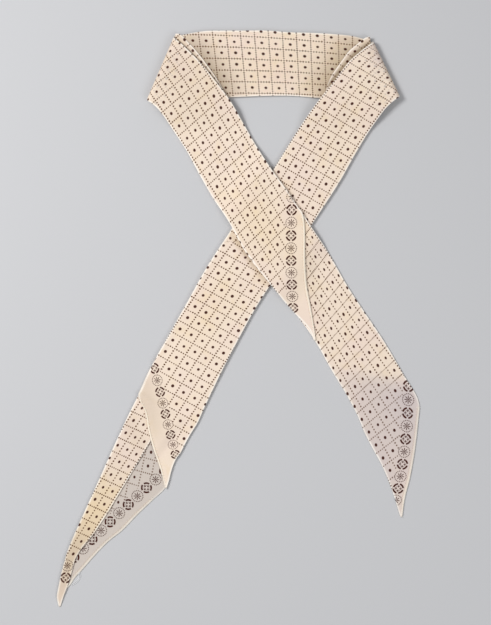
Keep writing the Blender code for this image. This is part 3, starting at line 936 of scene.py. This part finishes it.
# Painted shade on both plies under the fronts' turns, then thin painted shadow lines on the plies along
# the fronts' inner edges
PLY_PATCHES = [
    Patch(-40, 226, 34, 9, -50, 0.32, 0.10),
    Patch(100, 228, 30, 8, 46, 0.26, 0.10),
    Patch(-44.7, 235.9, 16, 1.5, -45, 0.50, 0.10),
    Patch(-20.9, 209.7, 18, 1.5, -50, 0.50, 0.10),
    Patch(108.3, 236.8, 13, 2.1, 36, 1.00, 0.10),
    Patch(86.7, 214.2, 18, 2.1, 51, 1.00, 0.10),
]


def make_ply(name, sections, chart, phase):
    """The cloth of one shoulder ply."""
    skin = ClothSkin(name, layers=2, widest=18.0, phase=phase)
    skin.add_sections(sections, "inner")
    return finish_cloth(skin, PRINTED_COTTON, chart, patches=PLY_PATCHES)


left_ply = make_ply("left_shoulder_ply_cloth", LEFT_PLY, LEFT_PLY_CHART, phase=0.9)
right_ply = make_ply("right_shoulder_ply_cloth", RIGHT_PLY, RIGHT_PLY_CHART, phase=2.2)
for ply, node, flat_size in (
    (left_ply, "left_shoulder_ply", LEFT_PLY_FLAT),
    (right_ply, "right_shoulder_ply", RIGHT_PLY_FLAT),
):
    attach(ply, "root")
    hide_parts(node)

# The left end has two layers below the right front's lip. The under layer is a single thickness of
# the cotton with its rolled hem and border, and looks greyer. It lies flat on the surface.
LAYER_LIFT = PLY_THICK + SEAM_GAP

LEFT_UNDER = lay(
    PLY_THICK, 0, 0,
    (-84, -71.5, -42, -100),
    (-94, -83.5, -48.5, -111.5),
    (-108, -113, -57.5, -129),
) + lay(
    PLY_THICK, 0, 0.5,
    (-116.5, -131.5, -64, -148.5),
) + lay(
    PLY_THICK, 0, 1,
    (-122, -144.5, -76, -160),
    (-128.5, -158, -90, -173.5),
    (-134.5, -171, -102, -186),
    (-141.5, -186, -115, -196.5),
    (-147, -198.5, -127.5, -209.5),
    (-150.5, -208.5, -137.5, -221),
    (-153, -218, -143.5, -227.5),
    (-154.5, -227, -147.5, -233.5),
    (-153.5, -234.5, -150.5, -237),
)
LEFT_UNDER_CHART = Chart((-79.5, -129.4), (-2.6, -12.4), (-9.1, 2.6))
LEFT_UNDER_BORDER = BorderRow((-72.8, -141.2), (-144.6, -209.7), 0, 9, bow=-0.7, crowd=0.05,
                              spots_end=7.0)
LEFT_UNDER_VEILS = [SeeThrough(-110, -160, 70, 40, 50, 0.0, 0.22)]
LEFT_UNDER_CREASES = [
    Crease(-116, -190, -96, -172, 2.0, 0.16),
    Crease(-104, -160, -84, -150, 2.5, 0.14),
]
SINGLE_THICKNESS = (0.532, 0.476, 0.432, 1.0)
SINGLE_GREYNESS = 0.86

STITCH_PITCH = 2.8
STITCH_REACH = 0.9
STITCH_SLANT = 0.2
STITCH_SIZES = (0.85, 1.15)
THREAD_RADIUS = 0.14
LOOSE_THREAD_RADIUS = 0.26
THREAD_LIGHT = (0.950, 0.920, 0.850, 1.0)
THREAD_SHADE = (0.760, 0.690, 0.580, 1.0)
THREAD_LOOPS = [
    [(-140.2, -222.6, 0.9), (-138.3, -225.2, 0.5), (-139.3, -229.2, 0.3), (-142.0, -232.2, 0.3),
     (-146.8, -234.6, 0.4)],
    [(-140.6, -223.4, 0.9), (-139.5, -225.8, 0.5), (-140.5, -229.0, 0.3), (-142.8, -231.4, 0.3),
     (-147.2, -233.6, 0.5)],
]


def whip_stitch_tree():
    """Sets short slanting stitches of thread over a path, one for each pitch."""
    tree = bpy.data.node_groups.new("whip_stitches", "GeometryNodeTree")
    kinds = {"Path": "NodeSocketGeometry", "Pitch": FLOAT, "Reach": FLOAT, "Thread Radius": FLOAT,
             "Seed": "NodeSocketInt", "Thread": "NodeSocketMaterial"}
    sockets = {}
    for label, kind in kinds.items():
        sockets[label] = tree.interface.new_socket(name=label, in_out="INPUT", socket_type=kind).identifier
    tree.interface.new_socket(name="Stitches", in_out="OUTPUT", socket_type="NodeSocketGeometry")
    given = outputs_of(tree, tree.nodes.new("NodeGroupInput"))
    radius = given["Thread Radius"]
    reach = given["Reach"]
    slant = given["Pitch"] * STITCH_SLANT

    def add(kind, settings=(), **inputs):
        return add_node(tree, "GeometryNode" + kind, settings, **inputs)

    back = join(slant * -1.0, reach * -1.0, radius)
    front = join(slant, reach, radius)
    crown = add_node(tree, "ShaderNodeCombineXYZ", Z=reach * 0.9)
    arch = add("CurveQuadraticBezier", Resolution=4, Start=back, Middle=crown, End=front)
    round_thread = add("CurvePrimitiveCircle", Resolution=5, Radius=radius)
    stitch = add("CurveToMesh", Curve=arch, Profile_Curve=round_thread, Fill_Caps=True)

    path = add("MeshToCurve", Mesh=given["Path"])
    spaced = add("ResampleCurve", [("mode", "LENGTH")], Curve=path, Length=given["Pitch"])
    aligned = add_node(tree, "FunctionNodeAlignRotationToVector", [("axis", "X"), ("pivot_axis", "Z")],
                       Vector=add("InputTangent"))
    size = add_node(tree, "FunctionNodeRandomValue", [("data_type", "FLOAT")], "Value",
                    Min=STITCH_SIZES[0], Max=STITCH_SIZES[1], Seed=given["Seed"])
    placed = add("InstanceOnPoints", Points=spaced, Instance=stitch, Rotation=aligned, Scale=size)
    real = add("RealizeInstances", Geometry=placed)
    made = add("SetMaterial", Geometry=real, Material=given["Thread"])
    feed(tree.nodes.new("NodeGroupOutput").inputs[0], made)
    return tree, sockets


def thread_material():
    """Soft off-white sewing thread with a fine twist."""
    material, tree, shader = new_material("sewing_thread")
    twist = smudge(add_node(tree, "ShaderNodeTexCoord", output="Object"), 4000.0, 1.0)
    relief = add_node(tree, "ShaderNodeBump", Distance=0.00005, Height=twist)
    feed_inputs(shader, Base_Color=blend_colours(twist, THREAD_SHADE, THREAD_LIGHT), Roughness=0.75,
                Normal=relief)
    return material


def plain_mesh(source, name):
    """The evaluated form of an object as a plain mesh object, with the source removed."""
    bpy.context.view_layer.update()
    evaluated = source.evaluated_get(bpy.context.evaluated_depsgraph_get())
    mesh = bpy.data.meshes.new_from_object(evaluated)
    bpy.data.objects.remove(source)
    return add_object(name, mesh)


def sew_hem(name, skin, hem_side, seed):
    """Whip stitches along the inside of a rolled hem."""
    places = (skin.stitch_path(hem_side) + (0.0, CENTRE_SHIFT_Y, 0.0)) * MILLIMETRE
    path = bpy.data.meshes.new(name + "_path")
    path.from_pydata([tuple(place) for place in places], [(n, n + 1) for n in range(len(places) - 1)], [])
    source = add_object(name + "_path", path)
    sewing = source.modifiers.new("sewing", "NODES")
    sewing.node_group = WHIP_STITCHES
    values = {"Pitch": STITCH_PITCH * MILLIMETRE, "Reach": STITCH_REACH * MILLIMETRE,
              "Thread Radius": THREAD_RADIUS * MILLIMETRE, "Seed": seed, "Thread": SEWING_THREAD}
    for label, value in values.items():
        sewing[STITCH_SOCKETS[label]] = value
    return plain_mesh(source, name)


def add_thread_loops(stitches, loops):
    """Loose ends of the hem's sewing thread, which lie beside the point."""
    for loop in loops:
        curve = bpy.data.curves.new("loose_thread", "CURVE")
        curve.dimensions = "3D"
        curve.bevel_depth = LOOSE_THREAD_RADIUS * MILLIMETRE
        curve.bevel_resolution = 1
        curve.use_fill_caps = True
        spline = curve.splines.new("NURBS")
        spline.points.add(len(loop) - 1)
        for point, (x, y, z) in zip(spline.points, loop):
            point.co = (x * MILLIMETRE, (y + CENTRE_SHIFT_Y) * MILLIMETRE, z * MILLIMETRE, 1.0)
        spline.use_endpoint_u = True
        spline.resolution_u = 6
        thread = plain_mesh(add_object("loose_thread", curve), "loose_thread_mesh")
        both = bmesh.new()
        both.from_mesh(stitches.data)
        both.from_mesh(thread.data)
        both.to_mesh(stitches.data)
        both.free()
        bpy.data.objects.remove(thread)


WHIP_STITCHES, STITCH_SOCKETS = whip_stitch_tree()
SEWING_THREAD = thread_material()
SINGLE_COTTON = cotton_material("single_layer_cotton", SINGLE_THICKNESS, roughness=0.92)

under_skin = ClothSkin("left_end_under_layer_cloth", layers=1, widest=54.0, phase=2.9,
                       creases=LEFT_UNDER_CREASES)
under_skin.add_sections(LEFT_UNDER, "outer")
under_cloth = finish_cloth(under_skin, SINGLE_COTTON, LEFT_UNDER_CHART, LEFT_UNDER_BORDER,
                           veils=LEFT_UNDER_VEILS, greyness=SINGLE_GREYNESS)
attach(under_cloth, "root")
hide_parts("left_end_under_layer")
under_stitches = sew_hem("left_end_under_layer_stitches", under_skin, "outer", seed=3)
add_thread_loops(under_stitches, THREAD_LOOPS)
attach(under_stitches, "root")

# The narrow strip of the left end is the last folds of the square drawn out to a point. It lies on
# the under layer, and its fold edge cuts through the print.
TIP_LIFT = 0.8

LEFT_STRIP = lay(
    PLY_THICK, LAYER_LIFT, 0,
    (-88.5, -68, -58.5, -84.5),
    (-95.5, -82, -69.5, -96.5),
    (-109.5, -112, -87.5, -125),
    (-123.5, -143.5, -105, -154),
    (-133.5, -165.5, -117.5, -174.5),
    (-142.5, -185.5, -130, -192.5),
    (-147, -196, -137.5, -201.5),
    (-151, -206.5, -143, -210.5),
    (-155, -221, -145.5, -219),
    (-158, -235, -149.5, -233),
) + lay(
    PLY_THICK, TIP_LIFT, 0,
    (-159.5, -245.5, -154, -245),
) + lay(
    PLY_THICK, 0, 0,
    (-158, -253, -156.5, -253),
)
LEFT_STRIP_CHART = Chart((-99.0, -100.1), (-7.09, -10.92), (8.22, -3.82), bow=-0.002)
LEFT_STRIP_BORDER = BorderRow((-150.3, -216.7), (-151.6, -227.5), 0, 1, bow=0.0, crowd=0.0,
                              reach=0.55, spots_end=6.0)
LEFT_STRIP_PATCHES = [
    Patch(-136, -186, 56, 30, 58, 0.14, 0.95),
    Patch(-150, -218, 36, 20, 72, 0.30, 0.05, 0.20),
    Patch(-92, -100, 34, 7, -60, 0.10, 0.20),
    Patch(-100, -112, 44, 30, 60, 0.06, 0.0, 0.12),
]
LEFT_STRIP_CREASES = [
    Crease(-128, -160, -140, -186, 2.0, 0.14),
    Crease(-147, -214, -153, -240, 1.4, 0.20),
]

strip_skin = ClothSkin("left_end_strip_cloth", layers=2, widest=34.0, phase=1.7,
                       creases=LEFT_STRIP_CREASES)
strip_skin.add_sections(LEFT_STRIP, "inner")
strip_cloth = finish_cloth(strip_skin, PRINTED_COTTON, LEFT_STRIP_CHART, LEFT_STRIP_BORDER,
                           LEFT_STRIP_PATCHES)
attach(strip_cloth, "root")
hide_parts("left_end_strip")

# The right front turns over on itself at the right shoulder and runs down to the left, under the
# crossing. Its last layer ends in a slanted rolled hem with the border, over the left end's layers.
LIP_THICK = 1.1
SHOULDER_LIFT = BAND_THICK + PLY_THICK + 2.0 * SEAM_GAP
SHOULDER_HOLD_Y = 187.0
SHOULDER_FLOOR_Y = 163.0
FOLD_RADIUS = (SHOULDER_LIFT + BAND_THICK) / 2.0
FOLD_HOLLOW = (SHOULDER_LIFT - BAND_THICK) / 2.0
TURN_STEP = 10
DEGREES_PER_MILLIMETRE = 9.0
PRESSED = 0.3
RIGHT_TURN_FOLLOW = 0.35
STRIP_NORMAL = (0.794, -0.605)
STRIP_OFFSET = 5.5
STRIP_HOLD = 5.0
STRIP_REACH = 9.0

RIGHT_FRONT = lay(
    BAND_THICK, 0, 0,
    (113, 239.4, 135.5, 190.5),
    (99, 227.5, 131, 186.5),
    (83.5, 208, 124.5, 178.5),
    (71, 192.5, 114, 163.5),
    (57, 173, 102.5, 144.5),
    (43.5, 152, 90.5, 123),
    (30.5, 131, 76.5, 101),
    (-6.5, 78, 41, 48),
    (-27.5, 46, 19.5, 16.5),
    (-45, 14.5, 2.5, -13.5),
) + lay(
    3.2, 0, 0,
    (-62.5, -16.5, -15, -47),
) + lay(
    2.8, 0, 0,
    (-80.3, -48.6, -30.5, -79.5),
) + lay(
    2.6, 0, 0,
    (-86.1, -61.8, -37, -93.5),
) + lay(
    LIP_THICK, LAYER_LIFT, 0,
    (-87.8, -65.6, -39, -96.5),
) + lay(
    LIP_THICK, LAYER_LIFT, 1,
    (-87.4, -69.6, -41.5, -100.5),
    (-82.5, -79.5, -45.5, -107.5),
    (-79, -97.5, -51, -118),
    (-74.5, -114.5, -55.5, -124.5),
    (-70, -127.5, -59, -134),
    (-66.5, -139, -61, -142),
) + lay(
    PLY_THICK, LAYER_LIFT, 1,
    (-64.5, -148.5, -63, -148.5),
)
RIGHT_FRONT_CHART = Chart((44.5, 124.0), (-6.08, -10.33), (8.98, -5.26), bow=-0.0107, twist=-0.0086,
                          fold_from=-9.0, fold_crowd=0.065, fold_curl=-0.09)
BELOW_CROSSING_CHART = Chart((-34.8, -4.1), (-6.62, -9.83), (9.53, -5.31), bow=-0.0034)
CROSSING_MIDDLE_Y = 68.0
RIGHT_FRONT_BORDER = BorderRow((-73.8, -43.4), (-55.3, -119.0), 1, 9, bow=0.0, crowd=-0.24,
                               hem_side=-1.0)
RIGHT_FRONT_VEILS = [
    SeeThrough(124, 214, 34, 8, -64, 0.0, 0.8),
    SeeThrough(128, 196, 18, 12, -64, 0.0, 0.5),
]
RIGHT_FRONT_STEPS = [EdgeStep(-76.0, -36.0, 10.0, 1.9)]
RIGHT_FRONT_CREASES = [
    Crease(108, 196, 82, 160, 5.0, 0.28),
    Crease(88, 196, 64, 158, 4.0, 0.22),
    Crease(-2, 70, -34, 20, 4.0, 0.26),
    Crease(14, 40, -14, -8, 5.0, 0.24),
    Crease(-46, 2, -66, -40, 3.5, 0.24),
    Crease(-28, -30, -44, -74, 4.0, 0.22),
    Crease(-60, -86, -62, -120, 3.0, 0.14),
]
RIGHT_FRONT_PATCHES = [
    # A thin painted shadow beside the left front's lower edge where it crosses over
    Patch(10.2, 52, 30, 2.8, -54, 0.50, 0.30),
    Patch(121, 231, 16, 6, -64, 0.10, 0.0, 0.30),
    Patch(-26, 8, 36, 18, 60, 0.0, 0.30),
    Patch(92, 176, 40, 20, 55, 0.05, 0.12),
    Patch(-80, -72, 36, 11, -75, 0.27, 0.15, 0.10),
]


def rest_on_shoulder(x, y):
    """Height of a front's underside where it comes down off the back band."""
    return SHOULDER_LIFT * ease((y - SHOULDER_FLOOR_Y) / (SHOULDER_HOLD_Y - SHOULDER_FLOOR_Y))


def right_front_rest(x, y, lift):
    """The lip lies on the under layer, and rises again over the narrow strip."""
    beyond = STRIP_NORMAL[0] * x + STRIP_NORMAL[1] * y - STRIP_OFFSET
    over_strip = ease((STRIP_HOLD + STRIP_REACH - beyond) / STRIP_REACH)
    return rest_on_shoulder(x, y) + lift * (1.0 + over_strip)


def add_turn(skin, fold, first, follow):
    """Rings of a shoulder turn, from under the front, round the fold and on to its top. The share
    follow says how far its high end starts out along the back band's edge."""
    high, low, along, away = fold_frame(fold)
    over_high = slide(np.array((first.inner_x, first.inner_y)) - high, along, away)
    over_low = slide(np.array((first.outer_x, first.outer_y)) - low, along, away)
    under_high = slide(np.array(fold.high_run), along, away) * follow
    under_low = slide(np.array(fold.low_run), along, away)
    front_rest = skin.rest
    skin.rest = flat_rest
    for angle in range(-90, 91, TURN_STEP):
        lean = math.sin(math.radians(angle))
        reach = math.cos(math.radians(angle))
        plan = FOLD_RADIUS - FOLD_HOLLOW * reach
        height = FOLD_RADIUS + FOLD_HOLLOW * lean
        ends = []
        for end, under, over in ((high, under_high, over_high), (low, under_low, over_low)):
            shift = FOLD_RADIUS * (under * (1.0 - lean) + over * (1.0 + lean)) / 2.0
            spot = end + away * plan + along * shift
            ends.append((spot[0], spot[1], height))
        up = np.array((-away[0] * reach, -away[1] * reach, lean))
        round_fold = FOLD_RADIUS * math.radians(90.0 - angle)
        flat_shift = away * (FOLD_RADIUS - plan - round_fold)
        skin.add_ring(*ends, up, BAND_THICK, 0.0, (0.0, 0.0), angle / DEGREES_PER_MILLIMETRE,
                      rippled=0.0, flat_shift=flat_shift, open_edge=PRESSED)
    skin.rest = front_rest


right_skin = ClothSkin("right_front_cloth", layers=4, widest=58.0, phase=2.4, rest=right_front_rest,
                       creases=RIGHT_FRONT_CREASES, steps=RIGHT_FRONT_STEPS)
add_turn(right_skin, RIGHT_FOLD, RIGHT_FRONT[0], RIGHT_TURN_FOLLOW)
right_skin.add_sections(RIGHT_FRONT, "inner")
right_cloth = finish_cloth(right_skin, PRINTED_COTTON, RIGHT_FRONT_CHART, RIGHT_FRONT_BORDER,
                           RIGHT_FRONT_PATCHES, RIGHT_FRONT_VEILS, lower_chart=BELOW_CROSSING_CHART,
                           change_y=CROSSING_MIDDLE_Y)
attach(right_cloth, "root")
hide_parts("right_front_band")
right_stitches = sew_hem("right_front_stitches", right_skin, "inner", seed=5)
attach(right_stitches, "root")

# The right end is the thinner layers that go on from under the left front's hem to the right point.
# Near the point it is nearly a single thickness, greyer, with a rolled hem and the border.
RIGHT_END_THICK = 2.0
RIGHT_POINT_THICK = 1.2
CROSSING_LIFT = BAND_THICK + SEAM_GAP
CROSSING_NORMAL = (0.829, -0.559)
CROSSING_OFFSET = -21.0
CROSSING_HALF_WIDTH = 28.0
CROSSING_HOLD = 5.0
CROSSING_REACH = 25.0

RIGHT_END = lay(
    RIGHT_END_THICK, 0, 0,
    (57.5, 91.5, 12, 50),
    (64, 81, 19, 41.5),
    (76, 63.5, 30.5, 27.5),
    (97, 27.5, 55, -1.5),
    (111.5, 5.5, 68.5, -21),
) + lay(
    1.8, 0, 0,
    (127.5, -18.5, 81, -43.5),
) + lay(
    1.5, 0, 0,
    (145.5, -49, 97, -70),
) + lay(
    RIGHT_POINT_THICK, 0, 0,
    (158, -70.5, 107, -90),
) + lay(
    RIGHT_POINT_THICK, 0, 1,
    (159.5, -77, 110.5, -99),
    (158.5, -88.5, 115, -108),
    (154, -124, 127.5, -131.5),
    (151, -140, 131.5, -141),
    (147, -155.5, 136, -153),
    (144, -174, 142.5, -174),
)
RIGHT_END_CHART = Chart((109.3, -70.4), (6.63, -11.25), (7.0, 6.25), bow=0.0008, twist=-0.032,
                        lean=-0.015)
RIGHT_END_BORDER = BorderRow((149.6, -59.0), (138.4, -159.5), 1, 10, bow=2.7, crowd=-0.15)
RIGHT_END_VEILS = [
    SeeThrough(104, -12, 52, 34, -58, 0.85, 0.0),
    SeeThrough(122, -70, 40, 34, -58, 0.1, 0.25),
]
RIGHT_END_CREASES = [
    Crease(82, 20, 104, -16, 4.0, 0.22),
    Crease(100, -30, 132, -70, 4.0, 0.20),
    Crease(122, -40, 140, -66, 3.0, 0.18),
    Crease(118, -92, 140, -130, 3.0, 0.16),
]
RIGHT_END_PATCHES = [
    Patch(123, -116, 66, 45, -99, 0.0, 0.0, 0.74, 16.0),
    Patch(156, -98, 40, 14, -80, 0.0, 0.0, 0.34, 8.0),
    # Painted shade, a little warm, beside the left front's hem edge
    Patch(62, 42, 46, 6, -78, 0.10, 0.10),
]


def rest_on_crossing(x, y):
    """Height of what lies over the right front, which it leaves in a soft slope."""
    across = CROSSING_NORMAL[0] * x + CROSSING_NORMAL[1] * y - CROSSING_OFFSET
    beyond = np.abs(across) - CROSSING_HALF_WIDTH
    return CROSSING_LIFT * ease((CROSSING_HOLD + CROSSING_REACH - beyond) / CROSSING_REACH)


def right_end_rest(x, y, lift):
    """Height of the right end's underside."""
    return rest_on_crossing(x, y) + lift


end_skin = ClothSkin("right_end_cloth", layers=2, widest=62.0, phase=0.7, rest=right_end_rest,
                     creases=RIGHT_END_CREASES)
end_skin.add_sections(RIGHT_END, "inner")
end_cloth = finish_cloth(end_skin, PRINTED_COTTON, RIGHT_END_CHART, RIGHT_END_BORDER,
                         RIGHT_END_PATCHES, RIGHT_END_VEILS)
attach(end_cloth, "root")
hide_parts("right_end_layer")
end_stitches = sew_hem("right_end_stitches", end_skin, "inner", seed=7)
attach(end_stitches, "root")

# The left front turns over at the left shoulder, crosses over the right front, and its last layer
# ends in a slanted rolled hem with the border row. It lies on everything else.
RIGHT_END_LIFT = RIGHT_END_THICK + SEAM_GAP
LEFT_TURN_FOLLOW = 1.0

LEFT_FRONT = lay(
    BAND_THICK, 0, 0,
    (-49.7, 241.4, -74, 187.5),
    (-32.8, 224.4, -70, 183.5),
    (-21.5, 210.5, -65, 177),
    (-9.5, 195, -58.5, 167.5),
    (3.5, 173.5, -46, 148.5),
    (16, 152, -34.5, 127.5),
    (29.5, 131, -22.5, 106.5),
    (43.5, 112, -8, 84.5),
    (53.5, 97, 6, 59),
) + lay(
    LIP_THICK, RIGHT_END_LIFT, 0,
    (55.5, 94.5, 8, 56),
) + lay(
    LIP_THICK, RIGHT_END_LIFT, 1,
    (57, 90.5, 11, 52.5),
    (58.5, 76.5, 17.5, 43.5),
    (58.5, 61.5, 22.5, 37.5),
    (59, 45, 30.5, 27.5),
    (60.5, 27.5, 41, 14.5),
    (63, 14, 51, 3.5),
    (65, 2.5, 58, -4),
    (66.5, -7, 62.5, -9.5),
) + lay(
    PLY_THICK, RIGHT_END_LIFT, 1,
    (68, -18.5, 66.5, -19),
)
LEFT_FRONT_CHART = Chart((-58.7, 180.1), (6.74, -10.57), (7.75, 6.55), bow=0.001, twist=0.009,
                         lean=0.005, fold_from=0.0, fold_crowd=0.045, fold_curl=0.02)
LEFT_FRONT_BORDER = BorderRow((47.3, 107.4), (48.0, 9.7), 0, 9, bow=-1.4, crowd=-0.18)
LEFT_FRONT_VEILS = [
    SeeThrough(-64, 216, 30, 8, 66, 0.0, 0.8),
    SeeThrough(-68, 196, 16, 10, 66, 0.0, 0.5),
]
LEFT_FRONT_CREASES = [
    Crease(-62, 226, -40, 206, 4.0, 0.24),
    Crease(-52, 176, -28, 136, 5.0, 0.28),
    Crease(-22, 196, 6, 150, 4.0, 0.24),
    Crease(-12, 118, 18, 76, 4.5, 0.24),
    Crease(16, 132, 38, 96, 3.5, 0.20),
    Crease(36, 74, 46, 34, 3.0, 0.12),
]
LEFT_FRONT_PATCHES = [
    Patch(20, 84, 34, 20, -60, 0.0, 0.45),
    Patch(54, 60, 50, 5, -88, 0.0, 0.15),
    Patch(-46, 206, 40, 34, -58, 0.20, 0.10),
]


def left_front_rest(x, y, lift):
    """Height of the left front's underside, over the shoulder and then over the crossing."""
    return np.maximum(rest_on_shoulder(x, y), rest_on_crossing(x, y)) + lift


left_skin = ClothSkin("left_front_cloth", layers=4, widest=62.0, phase=1.1, rest=left_front_rest,
                      creases=LEFT_FRONT_CREASES)
add_turn(left_skin, LEFT_FOLD, LEFT_FRONT[0], LEFT_TURN_FOLLOW)
left_skin.add_sections(LEFT_FRONT, "inner")
left_cloth = finish_cloth(left_skin, PRINTED_COTTON, LEFT_FRONT_CHART, LEFT_FRONT_BORDER,
                          LEFT_FRONT_PATCHES, LEFT_FRONT_VEILS)
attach(left_cloth, "root")
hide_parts("left_front_band")
left_stitches = sew_hem("left_front_stitches", left_skin, "inner", seed=11)
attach(left_stitches, "root")

# The room is a plain pale table top under soft studio light: one large lamp from the upper left,
# a weaker one from the right, and a pale sky.
FLOOR_SIZE = 6000.0
FLOOR_COLOUR = (0.52, 0.52, 0.53, 1.0)
SKY_COLOUR = (0.95, 0.97, 1.0, 1.0)
SKY_STRENGTH = 0.382

floor_mesh = bpy.data.meshes.new("floor")
half = FLOOR_SIZE / 2.0 * MILLIMETRE
floor_mesh.from_pydata([(-half, -half, 0.0), (half, -half, 0.0), (half, half, 0.0), (-half, half, 0.0)],
                       [], [(0, 1, 2, 3)])
floor_paint, _, floor_shader = new_material("pale_floor")
feed_inputs(floor_shader, Base_Color=FLOOR_COLOUR, Roughness=0.8)
floor_mesh.materials.append(floor_paint)
floor = add_object("floor", floor_mesh)
floor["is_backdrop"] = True

Lamp = namedtuple("Lamp", "name x y z size power")
LAMPS = [
    Lamp("key_lamp", -950.0, 420.0, 1250.0, 550.0, 20.4),
    Lamp("fill_lamp", 900.0, -700.0, 1250.0, 900.0, 7.6),
]
for lamp in LAMPS:
    lamp_data = bpy.data.lights.new(lamp.name, "AREA")
    lamp_data.size = lamp.size * MILLIMETRE
    lamp_data.energy = lamp.power
    lamp_object = add_object(lamp.name, lamp_data)
    lamp_object.location = (lamp.x * MILLIMETRE, lamp.y * MILLIMETRE, lamp.z * MILLIMETRE)
    aim = -lamp_object.location.normalized()
    lamp_object.rotation_euler = aim.to_track_quat("-Z", "Y").to_euler()

sky = bpy.data.worlds.new("pale_sky")
sky.use_nodes = True
feed_inputs(sky.node_tree.nodes["Background"], Color=SKY_COLOUR, Strength=SKY_STRENGTH)
bpy.context.scene.world = sky
bpy.context.scene.view_settings.view_transform = "Standard"

{"cad": cad_corners, "visual": [list(corner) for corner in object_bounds()]}
